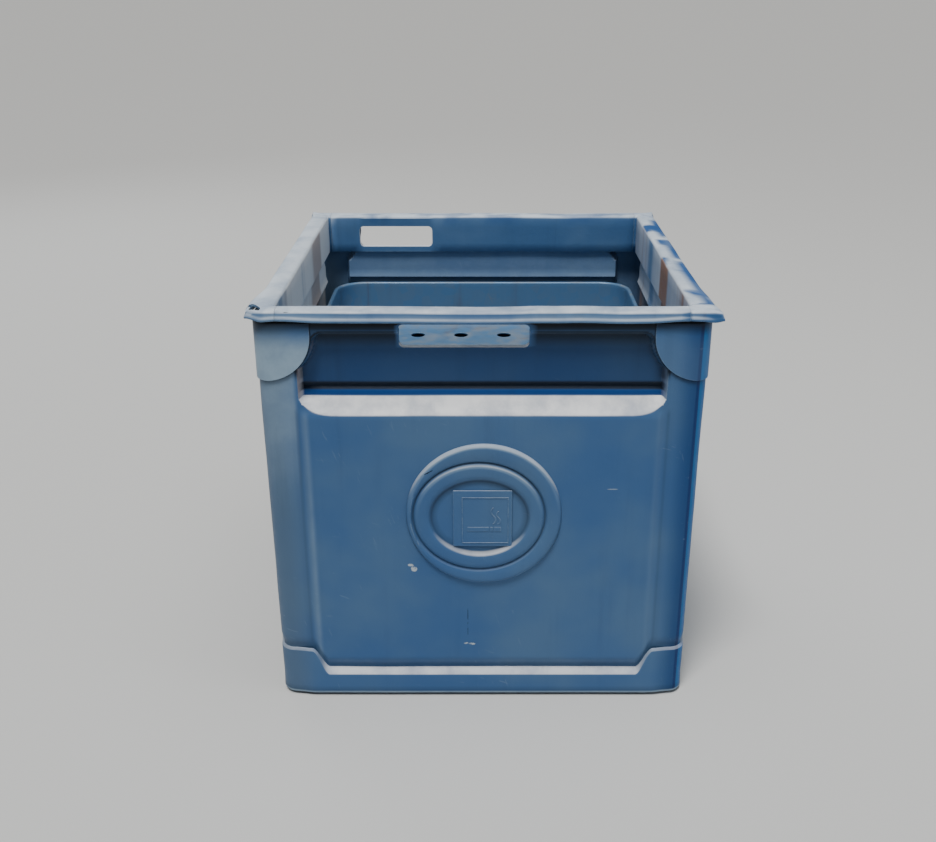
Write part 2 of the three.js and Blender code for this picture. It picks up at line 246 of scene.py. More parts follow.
class Effects:
    """Builds each shared effect once, as a node group with named inputs and outputs."""

    _made: dict[Effect, bpy.types.NodeTree] = {}

    @classmethod
    def get(cls, effect: Effect) -> bpy.types.NodeTree:
        """Returns an effect's node group, made on first use."""
        if effect not in cls._made:
            cls._made[effect] = getattr(cls, f"_{effect.value}")(effect.value)
        return cls._made[effect]

    @staticmethod
    def _open(
        name: str, inputs: dict[str, object], outputs: dict[str, str]
    ) -> tuple[Graph, bpy.types.Node, bpy.types.Node]:
        """Opens a new group.

        Args:
            name: The group's name.
            inputs: Defaults by socket name: a number, a colour or a vector.
            outputs: Socket types by name, in short: Float, Color or Vector.

        Returns:
            The group's graph, its input node and its output node.
        """
        tree = bpy.data.node_groups.new(name, "ShaderNodeTree")
        for label, default in inputs.items():
            kind = "Float"
            if isinstance(default, tuple):
                kind = "Color" if len(default) == 4 else "Vector"
            socket = tree.interface.new_socket(label, in_out="INPUT", socket_type=f"NodeSocket{kind}")
            socket.default_value = default
        for label, kind in outputs.items():
            tree.interface.new_socket(label, in_out="OUTPUT", socket_type=f"NodeSocket{kind}")
        graph = Graph(tree)
        return graph, graph.node("NodeGroupInput"), graph.node("NodeGroupOutput")

    @classmethod
    def _tinting(
        cls, name: str, label: str, **inputs: object
    ) -> tuple[Graph, bpy.types.Node, Callable[..., bpy.types.NodeTree]]:
        """Opens a group that mixes a named colour over the colour it is given.

        Args:
            name: The group's name.
            label: The named colour's input.
            inputs: Defaults of its other inputs, with an Amount among them.

        Returns:
            The group's graph, its input node, and a function that ends it with a mask.
        """
        inputs = {"Color": GREY, label: GREY, **inputs}
        graph, given, out = cls._open(name, inputs, {"Color": "Color", "Mask": "Float"})

        def end(mask: Socket, under: Socket | None = None) -> bpy.types.NodeTree:
            """Weighs the mask by Amount, mixes the colour in by it, and closes the group."""
            mask = graph.times(mask, given.outputs["Amount"])
            colour = graph.mix(mask, under or given.outputs["Color"], given.outputs[label])
            graph.join(colour, out.inputs["Color"])
            graph.join(mask, out.inputs["Mask"])
            return graph.tree

        return graph, given, end

    @classmethod
    def _sun_fade(cls, name: str) -> bpy.types.NodeTree:
        """Pales the faces that look up, more in some patches than in others: partly sun-bleached paint,
        partly a painted glare where the sky would shine on them.
        """
        graph, given, end = cls._tinting(name, "Faded", Amount=1.0, From=0.25, To=0.8)
        rise = graph.step(graph.axis("Z", "Normal"), given.outputs["From"], given.outputs["To"])
        return end(graph.times(rise, graph.waver(graph.patches(26, 5, 0.3, 0.62), 0.42, 0.58)))

    @classmethod
    def _streaks(cls, name: str) -> bpy.types.NodeTree:
        """Runs of dirt that drain down upright walls, broken up by a soft cloud."""
        graph, given, end = cls._tinting(name, "Dirt", Amount=0.4, Narrow=60.0)
        runs = graph.cloud(graph.place((1, 1, 0.06)), given.outputs["Narrow"], 5, 0.65)
        broken = graph.cloud(graph.place((1, 1, 0.5)), 11, 3)
        return end(graph.times(graph.step(runs, 0.48, 0.72), graph.step(broken, 0.38, 0.66)))

    @classmethod
    def _scuffs(cls, name: str) -> bpy.types.NodeTree:
        """Fine scratches in two directions, in patches."""
        graph, _, end = cls._tinting(name, "Scuff", Amount=0.5)
        lines = []
        for angle, stretch in ((0.3, (420, 420, 9)), (1.25, (300, 300, 7))):
            here = graph.node("ShaderNodeTexCoord").outputs["Object"]
            tilt = {"Vector": here, "Rotation": (angle * 0.4, angle, angle * 0.7)}
            long = {"Vector": graph.node("ShaderNodeMapping", tilt).outputs[0], "Scale": stretch}
            where = graph.node("ShaderNodeMapping", long).outputs[0]
            lines.append(graph.step(graph.cloud(where, 1.0, 2, 0.5), 0.66, 0.74))
        return end(graph.times(graph.math("ADD", *lines), graph.patches(17, 4, 0.52, 0.68)))

    @classmethod
    def _grain(cls, name: str) -> bpy.types.NodeTree:
        """The moulded skin: a fine grain over a slow orange peel, as a normal."""
        inputs = {"Fine": 1400.0, "Peel": 160.0, "Depth": 0.08, "Cut": 0.0}
        graph, given, out = cls._open(name, inputs, {"Normal": "Vector", "Shade": "Float"})
        fine = graph.cloud(graph.place(), given.outputs["Fine"], 2, 0.5)
        peel = graph.cloud(graph.place(), given.outputs["Peel"], 3, 0.5)
        height = graph.math("ADD", graph.times(fine, 0.3), graph.times(peel, 0.5))
        height = graph.math("SUBTRACT", height, given.outputs["Cut"])
        relief = {"Strength": given.outputs["Depth"], "Distance": MM, "Height": height}
        graph.join(graph.node("ShaderNodeBump", relief).outputs[0], out.inputs["Normal"])
        graph.join(peel, out.inputs["Shade"])
        return graph.tree

    @classmethod
    def _mark(cls, name: str) -> bpy.types.NodeTree:
        """One ragged mark at a place: a scuff, a chip or a stain."""
        nowhere, small = (0.0, 0.0, 0.0), (0.01, 0.01, 0.01)
        inputs = {"Centre": nowhere, "Size": small, "Tilt": 0.0, "Amount": 1.0, "Ragged": 240.0}
        graph, given, out = cls._open(name, inputs, {"Mask": "Float"})
        here = graph.node("ShaderNodeTexCoord").outputs["Object"]
        away = graph.vector("SUBTRACT", here, given.outputs["Centre"]).outputs[0]
        spin = {"Vector": away, "Angle": given.outputs["Tilt"]}
        tilted = graph.node("ShaderNodeVectorRotate", spin, rotation_type="Y_AXIS").outputs[0]
        share = graph.vector("DIVIDE", tilted, given.outputs["Size"]).outputs[0]
        far = graph.vector("LENGTH", share).outputs["Value"]
        near = graph.step(graph.math("SUBTRACT", 1.0, graph.times(far, 0.8)), 0.0, 0.7)
        torn = graph.cloud(graph.place(), given.outputs["Ragged"], 4, 0.7)
        mask = graph.times(graph.step(graph.times(near, torn), 0.36, 0.5), given.outputs["Amount"])
        graph.join(mask, out.inputs["Mask"])
        return graph.tree

    @classmethod
    def _edge_wear(cls, name: str) -> bpy.types.NodeTree:
        """Lightens rubbed edges, found from how a rounded normal leaves the true one."""
        graph, given, end = cls._tinting(name, "Worn", Amount=0.5, Width=0.0016)
        soft = graph.node("ShaderNodeBevel", {"Radius": given.outputs["Width"]}, samples=4).outputs[0]
        true = graph.node("ShaderNodeNewGeometry").outputs["Normal"]
        same = graph.vector("DOT_PRODUCT", soft, true).outputs["Value"]
        edge = graph.step(graph.math("SUBTRACT", 1.0, same), 0.01, 0.16)
        return end(graph.times(edge, graph.patches(130, 4, 0.36, 0.6, 0.7)))

    @classmethod
    def _inside_stain(cls, name: str) -> bpy.types.NodeTree:
        """Chalky and brown runs down the side walls' inner faces: chalk left, brown right."""
        graph, given, end = cls._tinting(name, "Rust", Chalk=GREY, Amount=1.0)
        x, run = graph.axis("X"), (1, 1, 0.05)
        outward = graph.math("MULTIPLY", x, graph.axis("X", "Normal"), free=True)
        side = graph.step(graph.math("MULTIPLY", outward, -1.0), 0.12, 0.16)
        chalk = graph.step(graph.cloud(graph.place(run), 11, 3, 0.5), 0.36, 0.56)
        rust = graph.step(graph.cloud(graph.place(run, (0.3, 0.1, 0.2)), 13, 3, 0.5), 0.5, 0.62)
        tilt = graph.times(graph.step(x, -0.05, 0.05), 0.7)
        most_left = graph.math("SUBTRACT", 1.2, tilt, free=True)
        most_right = graph.math("ADD", 0.6, tilt, free=True)
        chalk = graph.times(chalk, most_left, side, given.outputs["Amount"])
        under = graph.mix(chalk, given.outputs["Color"], given.outputs["Chalk"])
        return end(graph.times(rust, most_right, side), under)

    @classmethod
    def _dust_specks(cls, name: str) -> bpy.types.NodeTree:
        """Ash and dust that lie on faces that look up, with small specks in them."""
        graph, _, end = cls._tinting(name, "Dust", Amount=0.5)
        up = graph.step(graph.axis("Z", "Normal"), 0.2, 0.9)
        specks = graph.times(graph.patches(900, 2, 0.6, 0.66, 0.5), 0.6)
        return end(graph.times(up, graph.math("ADD", graph.patches(38, 6, 0.42, 0.64, 0.65), specks)))


@dataclass
class Surface:
    """A material being made: a Principled shader and the colour that reaches it so far."""

    name: str
    colour: Colour
    roughness: float
    metallic: float = 0.0
    gloss: float = 0.5

    def __post_init__(self) -> None:
        """Makes the material, its shader and its output."""
        self.material = bpy.data.materials.new(self.name)
        self.material.use_nodes = True
        tree = self.material.node_tree
        tree.nodes.clear()
        self.graph = Graph(tree)
        self.shader = self.graph.node("ShaderNodeBsdfPrincipled")
        levels = {"Roughness": self.roughness, "Metallic": self.metallic, "Specular IOR Level": self.gloss}
        for label, level in levels.items():
            self.shader.inputs[label].default_value = level
        self.graph.node("ShaderNodeOutputMaterial", {"Surface": self.shader.outputs[0]})
        self.now: object = self.colour

    def effect(self, effect: Effect, **inputs: object) -> bpy.types.Node:
        """Places a shared effect, fed by the colour so far where it takes one."""
        made = self.graph.node("ShaderNodeGroup")
        made.node_tree = Effects.get(effect)
        if "Color" in made.inputs:
            self._feed(made.inputs["Color"], self.now)
        for label, value in inputs.items():
            self._feed(made.inputs[label], value)
        if "Color" in made.outputs:
            self.now = made.outputs["Color"]
        return made

    def _feed(self, socket: Socket, value: object) -> None:
        """Gives a socket a value, or joins another socket to it."""
        if isinstance(value, Socket):
            self.graph.join(value, socket)
        else:
            socket.default_value = value

    def tint(self, share: object, colour: Colour) -> None:
        """Mixes a colour over what there is so far."""
        self.now = self.graph.mix(share, self.now, colour)

    def rougher(self, share: object, low: float, high: float) -> None:
        """Lets a mask move the roughness from low to high."""
        made = self.graph.node("ShaderNodeMapRange", {"Value": share, "To Min": low, "To Max": high})
        self._feed(self.shader.inputs["Roughness"], made.outputs[0])

    def close(self, normal: Socket | None = None) -> bpy.types.Material:
        """Joins the colour and the normal to the shader and returns the material."""
        self._feed(self.shader.inputs["Base Color"], self.now)
        if normal:
            self._feed(self.shader.inputs["Normal"], normal)
        return self.material


@dataclass(frozen=True)
class Mark:
    """A ragged mark on a moulding, in mm."""

    centre: Point
    size: Point
    amount: float
    colour: Colour
    tilt: float = 0.0


@dataclass(frozen=True)
class Moulding:
    """Blue moulded plastic, stained where it drains, pale where it faces up from sun-bleaching and a
    painted glare, and carrying painted shade and painted light.
    """

    name: str = "blue_moulding"
    blue: Colour = srgb(60, 98, 146)
    cloudy: Colour = srgb(78, 111, 148)
    # pale colour on faces that look up: sun-bleached paint together with a painted glare
    faded: Colour = srgb(252, 253, 254)
    worn: Colour = srgb(150, 172, 192)
    vivid: Colour = srgb(0, 60, 128)
    # paler weathered paint together with painted light, where the layer asks
    washed_and_lit: Colour = srgb(150, 174, 194)
    dirt: Colour = srgb(26, 38, 50)
    # how much of that pale colour there is, and from which to which upward slant of the faces
    fade: float = 0.95
    fade_and_glare_from: float = 0.2
    fade_and_glare_to: float = 0.45
    # the colour of painted shade, laid in hollows, under overhangs and below raised edges
    deep: Colour = srgb(3, 8, 14)
    # painted light greys the left edge; painted shade deepens the right edge, with a painted shade line and
    # a painted reflection line
    left_light_tint: Colour = srgb(84, 106, 130)
    right_shade_tint: Colour = srgb(4, 60, 114)
    shade: Colour = srgb(4, 44, 100)
    painted_reflection: Colour = srgb(6, 104, 168)
    chalk: Colour = srgb(236, 238, 238)
    rust: Colour = srgb(142, 104, 80)
    # how strong the painted light on the left and the painted shade on the right are
    left: float = 0.7
    right: float = 0.85
    shade_from: float = 0.1865
    reflection_from: float = 0.1895
    edge: float = 0.35
    streak: float = 0.12
    roughness: float = 0.42
    gloss: float = 0.2
    marks: tuple[Mark, ...] = ()

    def _sides(self, made: Surface) -> None:
        """Paints light onto the left edge and shade onto the right one, greying the left and deepening the
        right, with a painted dark line and a painted bright reflection line.
        """
        graph = made.graph
        x = graph.axis("X")
        left = graph.step(graph.math("MULTIPLY", x, -1.0), 0.158, 0.185)
        made.tint(graph.times(left, self.left), self.left_light_tint)
        ahead = graph.step(graph.math("MULTIPLY", graph.axis("Y", "Normal"), -1.0), 0.05, 0.5)
        soft, crisp = 0.027, 0.0015
        for start, width, colour in (
            (0.163, soft, self.right_shade_tint),
            (self.shade_from, crisp, self.shade),
            (self.reflection_from, crisp, self.painted_reflection),
        ):
            made.tint(graph.times(graph.step(x, start, start + width), ahead, self.right), colour)

    def make(self) -> bpy.types.Material:
        """Builds the material."""
        made = Surface(self.name, self.blue, self.roughness, gloss=self.gloss)
        graph = made.graph
        made.tint(graph.patches(7, 3, 0.35, 0.7), self.cloudy)
        # painted light on the left edge; painted shade and a painted reflection on the right
        self._sides(made)
        sunk, kept, vivid, bleach = (
            graph.node("ShaderNodeAttribute", attribute_name=layer).outputs["Fac"]
            for layer in ("sunk", "kept", "vivid", "bleach")
        )
        # paler weathered paint and painted light, in patches, where the layer asks
        made.tint(graph.times(bleach, graph.waver(graph.patches(40, 4, 0.3, 0.7), 0.3, 0.7)), self.washed_and_lit)
        made.tint(graph.times(vivid, 0.95), self.vivid)
        made.effect(Effect.STREAKS, Dirt=self.dirt, Amount=self.streak)
        made.effect(Effect.INSIDE, Chalk=self.chalk, Rust=self.rust, Amount=0.95)
        scuffs = made.effect(Effect.SCUFFS, Scuff=self.worn, Amount=0.16)
        made.effect(Effect.EDGE, Worn=self.worn, Amount=self.edge)
        # sun-bleached paint and a painted glare on faces that look up, held off where the layer says
        bare = graph.times(graph.math("SUBTRACT", 1.0, kept), self.fade)
        made.effect(Effect.SUN_FADE, Faded=self.faded, Amount=bare, From=self.fade_and_glare_from, To=self.fade_and_glare_to)
        # painted shade, where the layer asks for it
        made.tint(graph.times(sunk, 0.97), self.deep)
        for mark in self.marks:
            spot = made.effect(
                Effect.MARK,
                Centre=tuple(v * MM for v in mark.centre),
                Size=tuple(v * MM for v in mark.size),
                Tilt=math.radians(mark.tilt),
                Amount=mark.amount,
            )
            made.tint(spot.outputs["Mask"], mark.colour)
        skin = made.effect(Effect.GRAIN, Depth=0.35, Cut=scuffs.outputs["Mask"])
        made.rougher(skin.outputs["Shade"], self.roughness - 0.1, self.roughness + 0.14)
        return made.close(skin.outputs["Normal"])


@dataclass(frozen=True)
class CoatedSteel:
    """Sheet steel with a thin blue-grey coat, stained brown by ash and rain."""

    name: str = "coated_steel"
    coat: Colour = srgb(80, 124, 164)
    bare: Colour = srgb(120, 128, 132)
    rust: Colour = srgb(96, 72, 56)
    ash: Colour = srgb(142, 142, 138)
    dusty: float = 0.5

    def make(self) -> bpy.types.Material:
        """Builds the material."""
        made = Surface(self.name, self.coat, 0.42, 0.2)
        graph = made.graph
        spangle = graph.node("ShaderNodeTexVoronoi", {"Vector": graph.place(), "Scale": 95.0})
        grey = graph.node("ShaderNodeRGBToBW", {0: spangle.outputs["Color"]}).outputs[0]
        made.tint(graph.times(grey, 0.3), self.bare)
        made.effect(Effect.STREAKS, Dirt=self.rust, Amount=0.55, Narrow=42.0)
        scuffs = made.effect(Effect.SCUFFS, Scuff=self.bare, Amount=0.6)
        made.effect(Effect.EDGE, Worn=self.bare, Amount=0.8, Width=0.0012)
        dust = made.effect(Effect.SPECKS, Dust=self.ash, Amount=self.dusty)
        made.rougher(dust.outputs["Mask"], 0.36, 0.85)
        skin = made.effect(Effect.GRAIN, Depth=0.12, Peel=90.0, Cut=scuffs.outputs["Mask"])
        return made.close(skin.outputs["Normal"])


@dataclass(frozen=True)
class BrightSteel:
    """Zinc-plated wire and screws, dulled by weather."""

    name: str = "bright_steel"
    zinc: Colour = srgb(176, 180, 182)
    dull: Colour = srgb(112, 112, 108)

    def make(self) -> bpy.types.Material:
        """Builds the material."""
        made = Surface(self.name, self.zinc, 0.34, 0.95)
        graph = made.graph
        dull = graph.patches(120, 5, 0.42, 0.68, 0.65)
        made.tint(dull, self.dull)
        made.rougher(dull, 0.3, 0.62)
        scuffs = made.effect(Effect.SCUFFS, Scuff=self.zinc, Amount=0.8)
        skin = made.effect(Effect.GRAIN, Depth=0.2, Fine=2200.0, Cut=scuffs.outputs["Mask"])
        return made.close(skin.outputs["Normal"])


@dataclass(frozen=True)
class Rubber:
    """Black rubber with dust in its grain."""

    name: str = "black_rubber"
    black: Colour = srgb(34, 35, 37)
    dust: Colour = srgb(112, 106, 98)

    def make(self) -> bpy.types.Material:
        """Builds the material."""
        made = Surface(self.name, self.black, 0.78)
        made.effect(Effect.SPECKS, Dust=self.dust, Amount=0.5)
        made.effect(Effect.EDGE, Worn=self.dust, Amount=0.35)
        skin = made.effect(Effect.GRAIN, Depth=0.5, Fine=1800.0, Peel=420.0)
        made.rougher(skin.outputs["Shade"], 0.66, 0.9)
        return made.close(skin.outputs["Normal"])


# ---------------------------------------------------------------- mesh making


def placed(name: str, data: bpy.types.ID) -> bpy.types.Object:
    """Puts a mesh, a curve, a light or a camera in the scene, as an object."""
    made = bpy.data.objects.new(name, data)
    bpy.context.scene.collection.objects.link(made)
    return made


@dataclass
class Shape:
    """Points and faces in mm, gathered before they become a mesh."""

    points: list[Point] = field(default_factory=list)
    faces: list[tuple[int, ...]] = field(default_factory=list)

    def sheet(self, rows: list[list[Point]], across: bool = False, along: bool = False) -> list[list[int]]:
        """Adds rows of points joined by four-sided faces.

        Args:
            rows: Rows of equal length. Faces turn outwards when rows run up and points anticlockwise.
            across: Whether each row closes on itself.
            along: Whether the last row joins the first.

        Returns:
            The points' numbers, row by row.
        """
        start = len(self.points)
        width, height = len(rows[0]), len(rows)
        for row in rows:
            self.points.extend(row)
        number = [[start + i * width + j for j in range(width)] for i in range(height)]
        for i in range(height if along else height - 1):
            for j in range(width if across else width - 1):
                low, high = number[i], number[(i + 1) % height]
                k = (j + 1) % width
                self.faces.append((low[j], low[k], high[k], high[j]))
        return number

    def closed(self, rows: list[list[Point]]) -> None:
        """Adds a tube of rows with a flat face at each end."""
        number = self.sheet(rows, across=True)
        self.faces += [tuple(reversed(number[0])), tuple(number[-1])]

    def add(self, other: "Shape") -> None:
        """Adds another shape's points and faces."""
        start = len(self.points)
        self.points.extend(other.points)
        self.faces.extend(tuple(i + start for i in f) for f in other.faces)

    def turned(self, quarters: int) -> "Shape":
        """Returns a copy turned about the upright axis by quarter turns."""
        return Shape([turn(p, quarters) for p in self.points], list(self.faces))

    def object(self, name: str, sharp: float = 38.0) -> bpy.types.Object:
        """Makes a smooth-shaded object of it, in metres.

        Args:
            name: The object's name.
            sharp: Edges that bend by more than this many degrees stay sharp.

        Returns:
            The new object, in the scene.
        """
        mesh = bpy.data.meshes.new(name)
        mesh.from_pydata([tuple(c * MM for c in p) for p in self.points], [], self.faces)
        mesh.update()
        mesh.shade_smooth()
        mesh.set_sharp_from_angle(angle=math.radians(sharp))
        return placed(name, mesh)


def paint(piece: bpy.types.Object, **layers: list[float]) -> None:
    """Stores values on a piece's points, for its material to read.

    Args:
        piece: A mesh object.
        layers: Values point by point, by layer name: painted shade in hollows and under overhangs, where no
        sun-bleaching or painted glare shows, a stronger blue, and paler weathered paint with painted light.
    """
    for name, values in layers.items():
        layer = piece.data.attributes.new(name, "FLOAT", "POINT")
        layer.data.foreach_set("value", np.array(values, np.float32))


def modifier(piece: bpy.types.Object, kind: str, **settings: object) -> bpy.types.Modifier:
    """Adds a modifier with settings, with the same levels shown and rendered."""
    made = piece.modifiers.new(kind.lower(), kind)
    for name, value in settings.items():
        setattr(made, name, value)
    return made


def bevelled(piece: bpy.types.Object, width: float, angle: float = 35.0, segments: int = 3) -> None:
    """Rounds a piece's edges by a width in mm, where they bend by more than an angle."""
    modifier(
        piece,
        "BEVEL",
        width=width * MM,
        segments=segments,
        limit_method="ANGLE",
        angle_limit=math.radians(angle),
        harden_normals=True,
    )


def baked(piece: bpy.types.Object, move: Matrix | None = None) -> bpy.types.Object:
    """Applies a piece's modifiers and then a move, and leaves its object at the origin.

    Args:
        piece: The piece, a mesh or a curve.
        move: Where the finished mesh goes.

    Returns:
        A mesh object with the same name.
    """
    bpy.context.view_layer.update()
    graph = bpy.context.evaluated_depsgraph_get()
    mesh = bpy.data.meshes.new_from_object(piece.evaluated_get(graph), depsgraph=graph)
    if move:
        mesh.transform(move)
    name = piece.name
    bpy.data.objects.remove(piece)
    mesh.name = name
    return placed(name, mesh)


def carved(piece: bpy.types.Object, cutter: Shape) -> bpy.types.Object:
    """Cuts a shape out of a piece and applies the cut."""
    tool = cutter.object("cutter")
    modifier(piece, "BOOLEAN", operation="DIFFERENCE", object=tool, solver="EXACT")
    made = baked(piece)
    bpy.data.objects.remove(tool)
    made.data.shade_smooth()
    made.data.set_sharp_from_angle(angle=math.radians(38))
    return made


def prism(outline: list[Pair], axis: int, start: float, end: float) -> Shape:
    """A closed bar with a given outline.

    Args:
        outline: The outline's points, anticlockwise when seen from the axis' positive end.
        axis: 0, 1 or 2: the axis that the bar runs along.
        start: Where it starts, in mm.
        end: Where it ends, in mm.

    Returns:
        The bar.
    """

    def at(pair: Pair, level: float) -> Point:
        a, b = pair
        return ((level, a, b), (b, level, a), (a, b, level))[axis]

    made = Shape()
    made.closed([[at(p, level) for p in outline] for level in (start, end)])
    return made


def rounded_box(x0: float, x1: float, z0: float, z1: float, radius: float) -> list[Pair]:
    """A rectangle's outline with round corners, anticlockwise."""
    outline = []
    centres = ((x1, z1, 0), (x0, z1, 1), (x0, z0, 2), (x1, z0, 3))
    for x, z, quarter in centres:
        cx = x - radius if quarter in (0, 3) else x + radius
        cz = z - radius if quarter < 2 else z + radius
        for angle in between(quarter * QUARTER, (quarter + 1) * QUARTER, 6):
            outline.append((cx + radius * math.cos(angle), cz + radius * math.sin(angle)))
    return outline


def spun(name: str, profile: list[Pair], steps: int = 48) -> bpy.types.Object:
    """A turned shape about +Z, from a profile of radius and height in mm, top to bottom."""
    mesh = bpy.data.meshes.new(name)
    points = [(r * MM, 0.0, h * MM) for r, h in profile]
    mesh.from_pydata(points, [(i, i + 1) for i in range(len(points) - 1)], [])
    made = placed(name, mesh)
    modifier(
        made,
        "SCREW",
        steps=steps,
        render_steps=steps,
        use_merge_vertices=True,
        merge_threshold=0.00001,
        use_smooth_shade=True,
    )
    return made


def wire(name: str, points: list[Point], radius: float, bend: float) -> bpy.types.Object:
    """A round wire through points, with its corners rounded.

    Args:
        name: The object's name.
        points: The corners, in mm.
        radius: The wire's radius, in mm.
        bend: How far from a corner the bend starts, in mm.

    Returns:
        The wire, as a mesh object.
    """
    corners = [Vector(p) for p in points]
    path = [corners[0]]
    for before, corner, after in zip(corners, corners[1:], corners[2:], strict=False):
        into = corner + (before - corner).normalized() * bend
        out = corner + (after - corner).normalized() * bend
        for t in between(0, 1, 10):
            path.append(into * (1 - t) ** 2 + corner * 2 * t * (1 - t) + out * t * t)
    path.append(corners[-1])
    curve = bpy.data.curves.new(name, "CURVE")
    curve.dimensions = "3D"
    curve.bevel_depth = radius * MM
    curve.bevel_resolution = 4
    curve.use_fill_caps = True
    spline = curve.splines.new("POLY")
    spline.points.add(len(path) - 1)
    for point, place in zip(spline.points, path, strict=True):
        point.co = (*(place * MM), 1.0)
    made = baked(placed(name, curve))
    made.data.shade_smooth()
    return made


def flat_plate(
    name: str, outline: list[Pair], holes: Iterable[list[Pair]], thick: float, edge: float
) -> bpy.types.Object:
    """A flat plate with holes and soft edges, lying in its own XY plane and centred on it."""
    curve = bpy.data.curves.new(name, "CURVE")
    curve.dimensions = "2D"
    curve.fill_mode = "BOTH"
    curve.extrude = (thick / 2 - edge) * MM
    curve.bevel_depth = edge * MM
    curve.bevel_resolution = 1
    curve.offset = -edge * MM
    for ring in (outline, *holes):
        spline = curve.splines.new("POLY")
        spline.points.add(len(ring) - 1)
        for point, (x, y) in zip(spline.points, ring, strict=True):
            point.co = (x * MM, y * MM, 0.0, 1.0)
        spline.use_cyclic_u = True
    return placed(name, curve)


def circle(x: float, y: float, radius: float, count: int = 20) -> list[Pair]:
    """A circle's points, clockwise, as a hole."""
    angles = [-2 * math.pi * i / count for i in range(count)]
    return [(x + radius * math.cos(a), y + radius * math.sin(a)) for a in angles]


def finish(
    piece: bpy.types.Object,
    body: Body,
    slot: Slot,
    material: bpy.types.Material,
    *nodes: str,
) -> bpy.types.Object:
    """Dresses a piece, hangs it on the body that it rides on, and hides the CAD nodes that it stands for.

    Args:
        piece: The finished piece.
        body: The body that it rides on.
        slot: The record's slot for its finish; not used.
        material: Its material.
        nodes: The CAD nodes that it replaces.

    Returns:
        The piece.
    """
    piece.data.materials.clear()
    piece.data.materials.append(material)
    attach(piece, body.value)
    if nodes:
        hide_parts(*nodes)
    log.info("%s: %d faces, rides on %s", piece.name, len(piece.data.polygons), body.value)
    return piece


# ---------------------------------------------------------------- square rings


@dataclass(frozen=True)
class Station:
    """One place on the way round a rounded square: on a wall, or on the corner after it."""

    side: int
    along: float
    corner: bool

    def at(self, half: float, radius: float, z: float, push: float = 0.0) -> Point:
        """Gives the point for a square's half width and corner radius, pushed inwards."""
        x, y, nx, ny = self._local(half, radius)
        return turn((x - nx * push, y - ny * push, z), self.side)

    def front(self, half: float, radius: float) -> float:
        """Gives how far it is from the middle of its wall, or on a corner of the nearer wall."""
        inner = half - radius
        if not self.corner:
            return abs(self.along) * inner
        return inner + radius * math.sin(min(self.along, QUARTER - self.along))

    def _local(self, half: float, radius: float) -> tuple[float, float, float, float]:
        """Gives its place and outward direction with its wall turned to the front."""
        inner = half - radius
        if not self.corner:
            return self.along * inner, -half, 0.0, -1.0
        cos, sin = math.sin(self.along), -math.cos(self.along)
        return inner + radius * cos, -inner + radius * sin, cos, sin


def stations(flats: list[float], arcs: int) -> list[Station]:
    """Lists the stations round a square, anticlockwise.

    Args:
        flats: Places along a wall, as shares of its flat part, from -1 up to but not including 1.
        arcs: How many steps each corner takes.

    Returns:
        The stations, from the front wall's left end round.
    """
    made = []
    for side in range(4):
        made += [Station(side, share, False) for share in flats]
        made += [Station(side, angle, True) for angle in between(0, QUARTER, arcs)[:-1]]
    return made


def plain_stations(count: int = 6, arcs: int = 10) -> list[Station]:
    """Stations for a plain square, with few along each wall."""
    return stations([-1 + 2 * i / count for i in range(count)], arcs)


# ---------------------------------------------------------------- the tub


